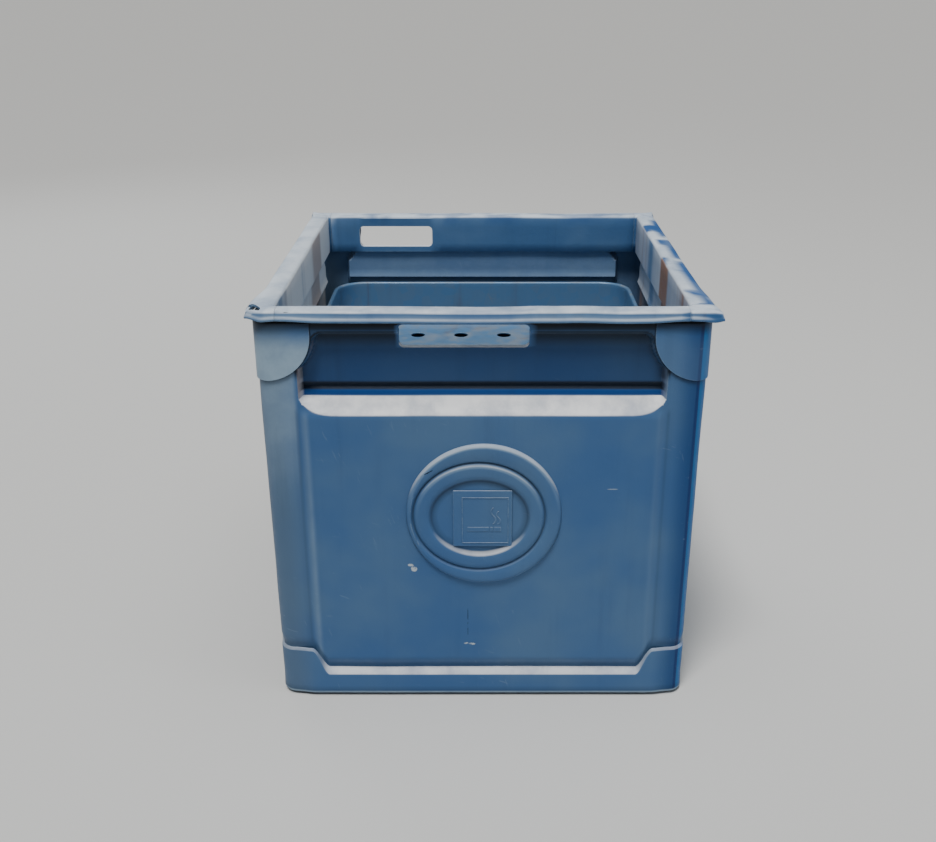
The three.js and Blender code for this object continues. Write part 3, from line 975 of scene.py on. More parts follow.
@dataclass
class Tub:
    """The moulded shell: recessed bands under the rim, slopes, and large proud panels."""

    bottom: float = 9.8
    top: float = 390.0
    half_bottom: float = 196.0
    half_top: float = 197.5
    radius: float = 15.0
    wall: float = 4.0
    band_top: float = 374.0
    band_depth: float = 10.0
    slope_foot: float = 297.6
    slope_crest: float = 313.6
    groove: float = 322.0
    panel_half: float = 163.0
    panel_proud: float = 1.8
    foot_hollow: float = 4.4
    band_low_half: float = 161.5
    lobe_x: float = 189.5
    lobe_z: float = 372.0
    lobe_radius: float = 42.0
    slots: tuple[tuple[Side, float, float], ...] = ((Side.FRONT, -73, 41), (Side.BACK, 59, 144))
    slot_low: float = 358.0
    slot_high: float = 382.0
    drain_spread: float = 60.0
    drain_radius: float = 5.0
    boss_spread: float = 150.0

    def half(self, z: float) -> float:
        """Gives the half width at a height, with the draft."""
        share = (z - self.bottom) / (self.top - self.bottom)
        return self.half_bottom + share * (self.half_top - self.half_bottom)

    def band_edge(self, z: float) -> float:
        """Gives how far from the middle the band's side is at a height."""
        across = self.lobe_radius**2 - (self.lobe_z - z) ** 2
        if across <= 0 or z < 330:
            return self.band_low_half
        return min(self.band_low_half, self.lobe_x - math.sqrt(across))

    def band_section(self, z: float, end: float) -> float:
        """Gives how deep the band's section is at a height.

        Args:
            z: The height, in mm.
            end: How far the slope's foot has risen, near its ends.
        """
        foot, crest, depth = self.slope_foot + end, self.slope_crest, self.band_depth
        if z >= crest:
            groove = 2.2 * math.exp(-(((z - self.groove) / 2.4) ** 2))
            return depth + groove - 0.9 * (1 - ease(z, crest, 325))
        share = (z - foot) / (crest - foot)
        if share <= 0:
            return 0.0
        soft = 0.14
        eased = share - soft / 2 if share > soft else share * share / (2 * soft)
        return (depth - 0.9) * eased / (1 - soft / 2)

    def relief(self, x: float, z: float, left: float) -> tuple[float, dict[str, float]]:
        """Gives how far in the skin lies at a place, and how it is painted there, with painted shade and
        painted light.

        Args:
            x: How far from the wall's middle it is, in mm.
            z: The height, in mm.
            left: How much of it is the front wall's left half, from 0 to 1.
        """
        end = 0.0
        if x > 131.5:
            end = 19.0 * (1 - math.sqrt(max(0.0, 1 - ((min(x, 160.5) - 131.5) / 30) ** 2)))
        edge, r = self.band_edge(z), 9.0
        qx, qz = x - (edge - r), z - (self.band_top - r)
        outside = math.hypot(max(qx, 0), max(qz, 0)) + min(max(qx, qz), 0) - r
        within = ease(-outside, -0.6, 3.4)
        depth = self.band_section(z, end) * within
        # the main panel stands proud of the posts, with a soft strip down each side
        panel = ease(self.panel_half - x, 0.0, 7.0) * ease(306 - z, 0, 12)
        depth -= self.panel_proud * panel
        # its foot is hollowed above the shoe's ledge
        lift = 23 * ease(x, 149, 164)
        depth += self.foot_hollow * ease(44 + lift - z, 0, 12) * (1 - 0.65 * ease(x, 150, 163))
        band = within * ease(z, 313.4, 315)
        # painted shade: under the rim's overhang, below the lobes, in the groove and down the band's sides,
        # along the band's edge and beside the panel's foot
        under = max(ease(z, 346, 374) * (0.6 + 0.36 * within), ease(z, 372, 380))
        crease = 0.94 * ease(z, 318.2, 319.8) * ease(329.0 - z, 0, 4.0)
        side = 0.95 * math.exp(outside / 9) * ease(z, 326, 332)
        gap = self.lobe_z - self.lobe_radius + 1 - z
        if x < self.lobe_x:
            gap = math.hypot(self.lobe_x - x, max(0.0, self.lobe_z - z)) - self.lobe_radius + 1
        lobe = 0.95 * math.exp(-max(gap, 0) / 1.9) if z > 318 else 0.0
        line = ease(outside, -1, 0.5) * ease(3.5 - outside, 0, 2) * ease(z, 328, 340)
        foot = 0.22 * math.exp(-(((x - 164.5) / 1.8) ** 2)) * ease(306 - z, 0, 8)
        foot = max(foot, 0.3 * ease(41 + lift - z, 0, 8))
        hollow = band * max(crease, side, 0.4 * ease(z, 322, 326))
        tone = {
            "sunk": min(1.0, max(under, lobe, hollow, 0.95 * line, foot)),
            # no sun-bleaching or painted glare in the band and above it, and less near the foot
            "kept": max(band, ease(z, 320, 328), 0.5 * ease(80 - z, 0, 20)),
            # a painted highlight strip inside each side of the panel, stronger on the left, and painted
            # light on the left post's upper part
            "bleach": max(
                0.3 * ease(x, 152.5, 157) * panel * (0.25 + 0.75 * left),
                0.55 * ease(z, 190, 320) * ease(x, 162, 167) * left,
            ),
            "vivid": band * max(0.95 * ease(320.0 - z, 0, 2), 0.45 * (1 - ease(z, 355, 368))),
        }
        return depth, tone

    def rows(self) -> list[float]:
        """Lists the heights of the outer skin's rows, close where the relief is."""
        low = [self.bottom, *between(14, 28, 3), *between(31, 72, 22), *between(80, 288, 20)]
        return low + between(291, 334, 36) + between(335.2, 378, 32) + [381.0, 384.5, 387.5, 390.0]

    def columns(self) -> list[Station]:
        """Lists the stations round the tub, close where the relief is."""
        flat = self.half_top - self.radius
        middle = [x / flat for x in between(-124, 124, 26)]
        side = [x / flat for x in [*between(127, 167, 32), 171.5, 177.0]]
        return stations([-1.0, *[-s for s in reversed(side)], *middle, *side], 12)

    def skin(self) -> tuple[Shape, dict[str, list[float]]]:
        """Builds the outer and inner skins with the floor, as one closed shell.

        Returns:
            The shape, and its paint layers.
        """
        around = self.columns()
        made, layers = Shape(), {"sunk": [], "kept": [], "vivid": [], "bleach": []}
        # the inner skin: painted light over it, and little sun-bleaching or painted glare
        hidden = {"sunk": 0.0, "kept": 0.9, "vivid": 0.0, "bleach": 0.34}

        def ring(z: float, inner: bool) -> list[Point]:
            row = []
            for station in around:
                half = self.half(z)
                x = station.front(half, self.radius)
                rough = station.at(half, self.radius, z)
                left = ease(-rough[1], half - self.radius, half) if rough[0] < 0 else 0.0
                depth, tone = self.relief(x, z, left)
                calm = ease(math.hypot(x, z - 199), 70, 110) if station.side == 0 else 1.0
                depth += calm * (wander(rough, 70.0, 0.5) + wander(rough, 24.0, 0.12))
                if inner:
                    depth = max(depth, 0) if z > 290 else 0.0
                    depth += self.wall
                row.append(station.at(half, self.radius, z, depth))
                for name, values in layers.items():
                    values.append(hidden[name] if inner else tone[name])
            return row

        outer = [ring(z, False) for z in self.rows()]
        inside = [*reversed(between(296, 378, 26)), 230.0, 160.0, 90.0, 30.0, self.bottom + self.wall]
        inner = [ring(z, True) for z in (390.0, 386.0, *inside)]
        made.closed(outer + inner)
        return made, layers

    def cutters(self) -> Shape:
        """Gathers the hand slots and the floor's drains."""
        made = Shape()
        for side, start, end in self.slots:
            outline = rounded_box(self.slot_low, self.slot_high, start, end, 5.0)
            bar = prism(outline, 1, -215, -178)
            made.add(bar.turned(side.value))
        for sx, sy in ((1, 1), (-1, 1), (-1, -1), (1, -1)):
            x, y = sx * self.drain_spread, sy * self.drain_spread
            made.add(prism(circle(x, y, self.drain_radius)[::-1], 2, 5, 18))
            hole = circle(sx * self.boss_spread, sy * self.boss_spread, 2.9, 16)[::-1]
            made.add(prism(hole, 2, 5, 19))
        return made

    def bosses(self) -> Shape:
        """Gathers the four screw bosses that stand on the floor."""
        made = Shape()
        for sx, sy in ((1, 1), (-1, 1), (-1, -1), (1, -1)):
            x, y = sx * self.boss_spread, sy * self.boss_spread
            rows = []
            for radius, z in ((10.5, 13.9), (8.6, 15.2), (8.0, 17.5), (8.0, 22.8), (7.0, 23.8)):
                rows.append([(a, b, z) for a, b in circle(x, y, radius, 24)[::-1]])
            made.closed(rows)
        return made

    def build(self, material: bpy.types.Material) -> None:
        """Builds the tub and dresses it."""
        shape, layers = self.skin()
        tub = shape.object("tub")
        paint(tub, **layers)
        tub = carved(tub, self.cutters())
        finish(tub, Body.CARCASS, Slot.BLUE, material, "body_shell")
        screws = self.bosses().object("screw_bosses")
        finish(screws, Body.CARCASS, Slot.BLUE, material, "body_shell")


@dataclass
class Shoe:
    """The skirt round the tub's foot: low along each side, raised at the corners."""

    bottom: float = 3.0
    half: float = 199.5
    radius: float = 18.0
    middle_top: float = 30.6
    corner_top: float = 54.0
    corner_x: float = 164.5
    middle_x: float = 149.5
    seat: float = 9.5
    under: float = 6.3
    opening: float = 130.0

    def crest(self, x: float) -> float:
        """Gives the top edge's height at a distance from the wall's middle."""
        share = (x - self.middle_x) / (self.corner_x - self.middle_x)
        share = min(1.0, max(0.0, share))
        soft = 0.15 * share + 0.85 * ease(share, 0, 1)
        return self.middle_top + (self.corner_top - self.middle_top) * soft

    def build(self, material: bpy.types.Material) -> None:
        """Builds the shoe and dresses it."""
        flat = self.half - self.radius
        close = [x / flat for x in [*between(147, 168, 14), 175.0]]
        flats = [-1.0, *[-s for s in reversed(close)], *[x / flat for x in between(-140, 140, 18)], *close]
        around = stations(flats, 14)
        made = Shape()
        # each row: how far in from the face, and its height from the foot or down from the crest
        outside = ((2.2, 0.0), (0.7, 0.5), (0.0, 1.9), (0.05, 3.4), (0.25, 9.0), (0.45, 16.0))
        crown = ((0.4, 7.6), (0.45, 6.4), (0.8, 5.4), (1.6, 4.3))
        crown += ((2.9, 2.8), (4.3, 1.4), (5.5, 0.5), (6.2, 0.0))
        inside = ((3.3, self.seat + 3), (3.5, self.seat))
        beneath = ((3.4, self.under), (3.0, self.bottom + 0.4))
        rows = [[self._point(s, push, self.bottom + rise) for s in around] for push, rise in outside]
        rows += [[self._point(s, push, None, drop) for s in around] for push, drop in crown]
        rows += [[self._point(s, push, z) for s in around] for push, z in inside]
        rows += [[s.at(self.opening, 20, z) for s in around] for z in (self.seat, self.under)]
        rows += [[self._point(s, push, z) for s in around] for push, z in beneath]
        made.sheet(rows, across=True, along=True)
        shoe = made.object("shoe")
        # painted shade in a band just above the bottom edge, a paler bottom edge, and less sun-bleaching
        # and painted glare towards the corners
        paint(
            shoe,
            sunk=[0.35 * (1 - ease(z, 5, 14)) * ease(z, 5, 6.2) for _, _, z in made.points],
            kept=[0.26 + 0.5 * ease(min(abs(x), abs(y)), 150, 160) for x, y, _ in made.points],
            bleach=[0.95 * (1 - ease(z, 5, 6.2)) for _, _, z in made.points],
        )
        finish(shoe, Body.CARCASS, Slot.BLUE, material, "base_shoe")

    def _point(self, station: Station, push: float, z: float | None, drop: float = 0.0) -> Point:
        """Gives a point on a row at a height, or at a drop below the crest."""
        x = station.front(self.half, self.radius)
        slim, flush = 1 - 0.6 * ease(x, 150, 165), 2.5 * ease(x, 164, 182)
        level = self.crest(x) - drop * slim if z is None else z
        if z is None:
            push *= slim
        point = station.at(self.half, self.radius, level)
        return station.at(self.half, self.radius, level, push + flush + 0.1 + wander(point, 60.0, 0.25))


@dataclass
class Gusset:
    """A thin lobed moulding that wraps a top corner, just under the rim."""

    corner: Corner
    half: float = 197.95
    radius: float = 15.0
    lobe_x: float = 189.5
    lobe_z: float = 372.0
    lobe_radius: float = 41.0
    top: float = 383.4
    proud: float = 1.2

    def build(self, material: bpy.types.Material) -> None:
        """Builds the lobe as a curved sheet, thickens it outwards and softens its edges."""
        low = self.lobe_z - self.lobe_radius
        fold = self.half - self.radius + self.radius * math.sin(QUARTER / 2)
        plan = []
        for angle in between(0, QUARTER, 22):
            x = self.lobe_x - self.lobe_radius * math.cos(angle)
            if x < fold - 0.6:
                plan.append((x, self.lobe_z - self.lobe_radius * math.sin(angle)))
        plan += [(x, low) for x in between(self.lobe_x, fold, 3)[1:]]
        front = [(x, self._wall(x), low) for x, low in plan]
        right = [(-y, -x, low) for x, y, low in reversed(front[:-1])]
        path = front + right
        made = Shape()
        made.sheet([[(x, y, z + (self.top - z) * t) for x, y, z in path] for t in between(0, 1, 9)])
        lobe = made.turned(self.corner.value).object(f"gusset_{self.corner.name.lower()}", 60)
        washed_and_lit = {Corner.FRONT_LEFT: 0.92, Corner.BACK_LEFT: 0.5}.get(self.corner, 0.1)
        span = self.top - self.lobe_z + self.lobe_radius
        rise = [(self.top - p[2]) / span for p in made.points]
        # painted shadow of the rim across each lobe's top; the left lobes paler, from weathered paint and
        # painted light from the left
        paint(
            lobe,
            sunk=[0.95 * ease(0.24 - share, 0, 0.24) for share in rise],
            kept=[1.0] * len(rise),
            bleach=[washed_and_lit * ease(share, 0.1, 0.5) for share in rise],
        )
        modifier(lobe, "SOLIDIFY", thickness=self.proud * MM, offset=1.0, use_even_offset=True)
        bevelled(lobe, 0.55, 40, 2)
        name = f"corner_gusset_{self.corner.name.lower()}"
        finish(lobe, Body.CARCASS, Slot.BLUE, material, name)

    def _wall(self, x: float) -> float:
        """Gives the y of the tub's corner at an x."""
        inner = self.half - self.radius
        if x <= inner:
            return -self.half
        return -inner - math.sqrt(max(0.0, self.radius**2 - (x - inner) ** 2))


# ---------------------------------------------------------------- the rim


@dataclass
class Rim:
    """Four channel rails over the walls' top edges, and four eared corner caps."""

    top: float = 394.0
    lip: float = 384.0
    skirt: float = 352.0
    outer: float = 201.0
    inner: float = 180.0
    rail_end: float = 177.0
    gap: float = 0.3
    ear: float = 206.0
    rise: float = 1.2
    thick: float = 3.0
    tub: Tub = field(default_factory=Tub)

    def section(self, wide: float, flare: float = 0.0) -> list[Pair]:
        """Lists the channel's section, from the outer lip over the top to the inner skirt.

        Args:
            wide: How far the lip is from the skirt's face, in mm.
            flare: From 0 on a rail to 1 at an ear's tip, where the lip is shallower.

        Returns:
            Pairs of distance out from the skirt's face, and height.
        """
        low, high = self.lip + 3.4 * flare, self.top
        crown = high + 0.7 * self.rise * flare
        return [
            (wide - 0.4, low),
            (wide, low + 0.8),
            (wide - 0.1, low + 1.7),
            (wide - 0.9, low + 3.2),
            (wide - 1.7, low + 4.6),
            (wide - 1.7, high - 2.6),
            (wide - 2.2, high - 1.1),
            (wide - 3.6, crown - 0.35),
            (wide * 0.7, crown + 0.1),
            (wide * 0.35, crown + 0.35),
            (2.6, high - 0.1),
            (0.8, high - 1.1),
            (0.0, high - 3.2),
            (0.15, high - 14),
            (0.0, self.skirt + 10),
            (0.0, self.skirt),
        ]

    def flare(self, side: Side, x: float) -> float:
        """Gives how far a rail's outer edge flares at a place along it, in mm."""
        front = {Side.LEFT: 1.0, Side.RIGHT: -1.0}.get(side, 0.0) * x
        most = 4.4 if side is Side.LEFT else 3.0
        return most * ease(front, 118, 172)

    def build(self, material: bpy.types.Material) -> None:
        """Builds every rail and cap."""
        for side in Side:
            self._rail(side, material)
        for corner in Corner:
            self._cap(corner, material)

    def _rail(self, side: Side, material: bpy.types.Material) -> None:
        """Builds one rail, a little uneven along its length."""
        columns = []
        for x in between(-self.rail_end, self.rail_end, 44):
            wide = self.outer - self.inner + self.flare(side, x)
            lift = 0.55 * ease(abs(x), 140, self.rail_end)
            calm = ease(self.rail_end - abs(x), 0, 40)
            seed = (x, 400.0 + 57 * side.value, 0.0)
            column = []
            for d, z in self.section(wide, lift if side in (Side.FRONT, Side.BACK) else 0.0):
                sag = calm * (wander(seed, 90, 1.1) + wander(seed, 28, 0.35)) * ease(z, 352, 384)
                push = calm * wander((x, 900.0 + 31 * side.value, z * 0.2), 60, 0.9) * ease(d, 8, 16)
                column.append((x, -self.inner - d - min(push, 0.0), z + min(sag, 0.4)))
            columns.append(column)
        rows = [list(row) for row in zip(*columns, strict=True)]
        made = Shape()
        made.sheet(rows)
        name = f"rim_rail_{side.name.lower()}"
        rail = made.turned(side.value).object(f"rail_{side.name.lower()}", 60)
        fresh = {Side.RIGHT: 1.0, Side.BACK: 0.55, Side.FRONT: 0.3}.get(side, 0.15)
        outer = 0.0 if side is not Side.RIGHT else 0.9
        self._wear(rail, made, fresh, outer, 7.0 * side.value)
        modifier(rail, "SOLIDIFY", thickness=self.thick * MM, offset=-1.0, use_even_offset=True)
        bevelled(rail, 0.6, 50, 2)
        cutter = Shape()
        for slot_side, start, end in self.tub.slots:
            if slot_side is side:
                outline = rounded_box(self.tub.slot_low, self.tub.slot_high, start, end, 5.0)
                cutter.add(prism(outline, 1, -190, -172).turned(side.value))
        if cutter.points:
            rail = carved(rail, cutter)
        finish(rail, Body.CARCASS, Slot.RIM, material, name)

    def _wear(self, piece: bpy.types.Object, shape: Shape, fresh: float, outer: float, seed: float) -> None:
        """Paints where a rim piece keeps its blue.

        Args:
            piece: The rim piece.
            shape: Its points before they were turned to their side.
            fresh: How much blue is left in patches, from 0 to 1.
            outer: How much more is left along the outer half.
            seed: Sets the patches apart from other pieces' patches.
        """
        values = []
        for x, y, z in shape.points:
            d = -y - self.inner
            patch = noise.noise(Vector((x / 46 + seed, d / 13, seed))) + 0.4 * noise.noise(
                Vector((x / 15 + seed, d / 6, seed + 3))
            )
            share = fresh * ease(patch, -0.05, 0.3) + outer * ease(d, 7, 12) * ease(patch, -0.6, -0.3)
            values.append(min(1.0, share) * ease(z, 380, 392))
        paint(piece, vivid=values, kept=values)

    def _plan(self, corner: Corner) -> tuple[list[Pair], list[Pair]]:
        """Gives a cap's inner and outer edges, as if it were the front right one.

        Args:
            corner: The cap's corner: each has its own ear.

        Returns:
            The inner edge's points and the outer edge's, step by step round the corner.
        """
        start, edge, tip = self.rail_end + self.gap, self.outer, self.ear - 0.2
        front = edge + self.flare(Side.LEFT, start) if corner is Corner.FRONT_LEFT else edge
        side = edge + self.flare(Side.RIGHT, -start) if corner is Corner.FRONT_RIGHT else edge
        ears = {
            Corner.FRONT_RIGHT: [(194, -edge), (204, -tip), (tip, -tip), (tip, -191)],
            Corner.FRONT_LEFT: [(186, -tip), (197, -204), (200.5, -197), (edge, -186)],
        }
        plain = [(192, -edge), (202, -203), (203, -202), (edge, -192)]
        guide = [(start, -front), *ears.get(corner, plain), (side, -start)]
        spans = between(0, len(guide) - 1, 32)[1:-1]
        outer = [guide[0], *(self._smooth(guide, span) for span in spans), guide[-1]]
        inner = [(start + (self.inner - start) * t, -self.inner) for t in between(0, 1, 16)]
        inner += [(-y, -x) for x, y in reversed(inner[:-1])]
        return inner, outer

    @staticmethod
    def _smooth(guide: list[Pair], span: float) -> Pair:
        """Gives a point on a soft curve through the middles of a guide's spans."""
        (x0, y0), (x1, y1), (x2, y2), (x3, y3) = *guide[:2], *guide[-2:]
        before, after = (2 * x0 - x1, 2 * y0 - y1), (2 * x3 - x2, 2 * y3 - y2)
        x = y = 0.0
        for i, (near_x, near_y) in enumerate((before, *guide, after), -1):
            far = abs(span - i)
            weight = 0.75 - far * far if far < 0.5 else 0.5 * max(0.0, 1.5 - far) ** 2
            x, y = x + weight * near_x, y + weight * near_y
        return (x, y)

    def _cap(self, corner: Corner, material: bpy.types.Material) -> None:
        """Builds one corner cap, with its ear; the front left one is worn through on top."""
        inner, outer = self._plan(corner)
        last = len(inner) - 1
        columns = []
        for i, ((ix, iy), (ox, oy)) in enumerate(zip(inner, outer, strict=True)):
            wide = math.hypot(ox - ix, oy - iy)
            at_tip = 1 - abs(2 * i / last - 1)
            flare = max(ease(at_tip, 0.3, 1.0), 0.55 * (1 - at_tip))
            column = []
            for d, z in self.section(wide, flare):
                share = d / wide
                column.append((ix + (ox - ix) * share, iy + (oy - iy) * share, z))
            columns.append(column)
        made = Shape()
        made.sheet([list(row) for row in zip(*columns, strict=True)])
        label = corner.name.lower()
        cap = made.turned(corner.value).object(f"cap_{label}", 60)
        self._wear(cap, made, 0.9 if corner is Corner.FRONT_RIGHT else 0.25, 0.0, 31.0 + corner.value)
        modifier(cap, "SOLIDIFY", thickness=2.2 * MM, offset=-1.0)
        if corner is Corner.FRONT_LEFT:
            cap = carved(cap, self._worn_hole())
        finish(cap, Body.CARCASS, Slot.RIM, material, f"rim_corner_{label}")

    @staticmethod
    def _worn_hole() -> Shape:
        """Gives the half-round hole worn through the top of the front left ear."""
        outline = [(-203.2, -193.5), (-198.0, -195.6), (-190.5, -196.6)]
        outline += [(-189.6, -193.5), (-191.5, -188.0), (-195.0, -182.0), (-198.8, -178.0)]
        outline += [(-202.0, -176.8), (-203.6, -179.0), (-204.0, -186.0)]
        return prism(outline, 2, 391.4, 399.0)


# ---------------------------------------------------------------- the medallion


@dataclass(frozen=True)
class Ring:
    """An oval on the medallion: its middle and its half width and half height, in mm."""

    x: float
    z: float
    wide: float
    tall: float

    def row(self, grow: float, height: float, count: int) -> list[Point]:
        """Gives the oval's points, grown by a distance, at a height off the panel."""
        made = []
        for i in range(count):
            angle = 2 * math.pi * i / count
            x = self.x + (self.wide + grow) * math.cos(angle)
            made.append((x, self.z + (self.tall + grow) * math.sin(angle), height))
        return made


@dataclass
class Medallion:
    """The ribbed disc on the front panel, with a square tile in its middle."""

    centre_z: float = 198.0
    face: float = 198.56
    draft: float = 0.0039
    outer: Ring = Ring(1.2, 2.0, 71.5, 71.5)
    middle: Ring = Ring(-3.2, 0.8, 60.0, 54.0)
    opening: Ring = Ring(-2.8, 0.6, 45.0, 37.0)
    tile_half: float = 27.0
    tile_low: float = -29.5
    tile_high: float = 27.5

    def place(self) -> Matrix:
        """Gives the move from a part made facing +Z to its place on the leaning wall."""
        front = Matrix.Rotation(QUARTER, 4, "X")
        lean = Matrix.Rotation(self.draft, 4, "X")
        return Matrix.Translation((0, -self.face * MM, self.centre_z * MM)) @ lean @ front

    def build(self, material: bpy.types.Material) -> None:
        """Builds the disc and the tile."""
        count = 128
        # each cut: how far its oval grows, its height off the panel, and how much painted shade it gets
        steps = []
        for oval, cuts in (
            (self.outer, ((0.0, -0.3, 0.3), (0.0, 0.1, 0.5), (-0.6, 1.2, 0.2))),
            (self.outer, ((-1.5, 2.4, 0), (-2.8, 3.1, 0), (-4.6, 3.3, 0))),
            (self.middle, ((3.6, 3.0, 0), (2.4, 2.5, 0.05), (1.5, 1.4, 0.3))),
            (self.middle, ((0.8, 0.9, 0.75), (0.1, 1.0, 0.6), (-0.8, 2.2, 0.1))),
            (self.middle, ((-2.0, 3.1, 0), (-3.4, 3.5, 0), (-5.2, 3.6, 0))),
            (self.opening, ((5.6, 3.5, 0), (4.0, 3.3, 0), (2.2, 2.6, 0))),
            (self.opening, ((0.6, 1.5, 0.45), (-0.8, 0.8, 0.75), (-2.4, 0.5, 0.45))),
            (self.opening, ((-7.0, 0.45, 0), (-20.0, 0.4, 0), (-32.0, 0.4, 0))),
        ):
            steps += [(oval, *cut) for cut in cuts]
        made = Shape()
        rows = [oval.row(grow, height, count) for oval, grow, height, _ in steps]
        made.closed(rows)
        raised = made.object("medallion", 60)
        upper = [0.5 + 0.5 * p[1] / 72 for p in made.points]
        layers = {"sunk": [], "kept": [], "bleach": []}
        # painted shade under the outer ring and in the grooves, a painted highlight along the rings' upper
        # tops, and no painted glare on the middle ring's outer slope and groove
        for place, up in enumerate(upper):
            step = place // count
            dark = steps[step][3]
            layers["sunk"].append(min(1.0, 1.3 * dark * (1 - up)) if step < 3 else dark * (0.4 + 0.6 * up))
            layers["kept"].append(0.95 if 5 < step < 12 else 0.25 + 0.5 * up)
            layers["bleach"].append(0.6 * ease(up, 0.5, 0.95) * (step in (2, 3, 4, 12, 13)))
        paint(raised, **layers)
        disc = baked(raised, self.place())
        finish(disc, Body.CARCASS, Slot.BLUE, material, "medallion_ring")
        self._tile(material)

    def _tile(self, material: bpy.types.Material) -> None:
        """Builds the tile: a thin plate with a plain sign of a lit stub in low relief."""
        wide, low, high = self.tile_half, self.tile_low, self.tile_high
        face = prism(rounded_box(-wide, wide, low, high, 1.0), 2, 0.3, 2.1)
        tile = face.object("badge_tile")
        paint(tile, kept=[0.8] * len(face.points))
        bevelled(tile, 0.5, 40, 3)
        raised = Shape()
        for x0, x1, y0, y1 in (
            (-wide + 8, wide - 3, high - 7.6, high - 6.6),
            (-wide + 8, wide - 3, low + 3.0, low + 4.0),
            (-wide + 8, -wide + 9, low + 4.4, high - 8.0),
            (wide - 4, wide - 3, low + 4.4, high - 8.0),
            (-14.0, 6.0, -14.0, -9.5),
            (7.0, 9.6, -14.0, -9.5),
            (10.6, 17.0, -14.0, -9.5),
        ):
            raised.add(prism(rounded_box(x0, x1, y0, y1, 0.45), 2, 1.9, 2.55))
        for shift, size in ((10.0, 1.0), (14.6, 0.78)):
            raised.add(self._smoke(shift, size))
        relief = raised.object("badge_relief")
        paint(relief, kept=[0.8] * len(raised.points))
        bevelled(relief, 0.25, 40, 2)
        for piece in (tile, relief):
            finish(baked(piece, self.place()), Body.CARCASS, Slot.BLUE, material, "badge_plate")

    @staticmethod
    def _smoke(shift: float, size: float) -> Shape:
        """A wavy raised line that stands for smoke."""
        left, right = [], []
        for t in between(0, 1, 14):
            x = shift + 2.2 * size * math.sin(t * 2 * math.pi)
            y = -6.5 + 17.0 * size * t
            wide = 0.9 - 0.35 * t
            left.append((x - wide, y))
            right.append((x + wide, y))
        return prism(right + left[::-1], 2, 1.9, 2.5)


# ---------------------------------------------------------------- the feet


@dataclass
class Feet:
    """Four ribbed rubber feet and the screws that hold them."""

    spread: float = 150.0

    def build(self, rubber: bpy.types.Material, steel: bpy.types.Material) -> None:
        """Builds the four feet and their screws."""
        foot = [(2.9, 6.0), (15.6, 6.0), (16.4, 5.4), (16.4, 4.6), (15.7, 4.2), (16.6, 3.7), (17.0, 2.8)]
        foot += [(17.0, 0.9), (16.3, 0.15), (15.4, 0.0), (11.5, 0.0), (11.0, 0.4), (9.6, 0.4), (9.1, 0.0)]
        foot += [(6.1, 0.0), (5.5, 0.5), (5.5, 3.0), (2.9, 3.0), (2.9, 6.0)]
        screw = [(0.0, 18.0), (1.6, 18.0), (2.5, 16.8)]
        for turn_number in range(11):
            z = 16.4 - turn_number * 1.1
            screw += [(2.5, z), (2.1, z - 0.55)]
        screw += [(2.5, 3.6), (2.5, 2.8), (4.8, 2.8), (5.0, 2.4), (4.9, 1.5), (4.1, 0.85), (2.6, 0.6)]
        screw += [(2.2, 0.6), (1.9, 1.6), (0.0, 1.7)]
        for corner, (sx, sy) in zip(Corner, ((1, -1), (1, 1), (-1, 1), (-1, -1)), strict=True):
            label = corner.name.lower()
            move = Matrix.Translation((sx * self.spread * MM, sy * self.spread * MM, 0))
            pad = baked(spun(f"foot_pad_{label}", foot, 40), move)
            finish(pad, Body.CARCASS, Slot.RUBBER, rubber, f"foot_{label}")
            pin = baked(spun(f"screw_{label}", screw, 24), move)
            finish(pin, Body.CARCASS, Slot.BRIGHT, steel, f"foot_screw_{label}")


# ---------------------------------------------------------------- the liner


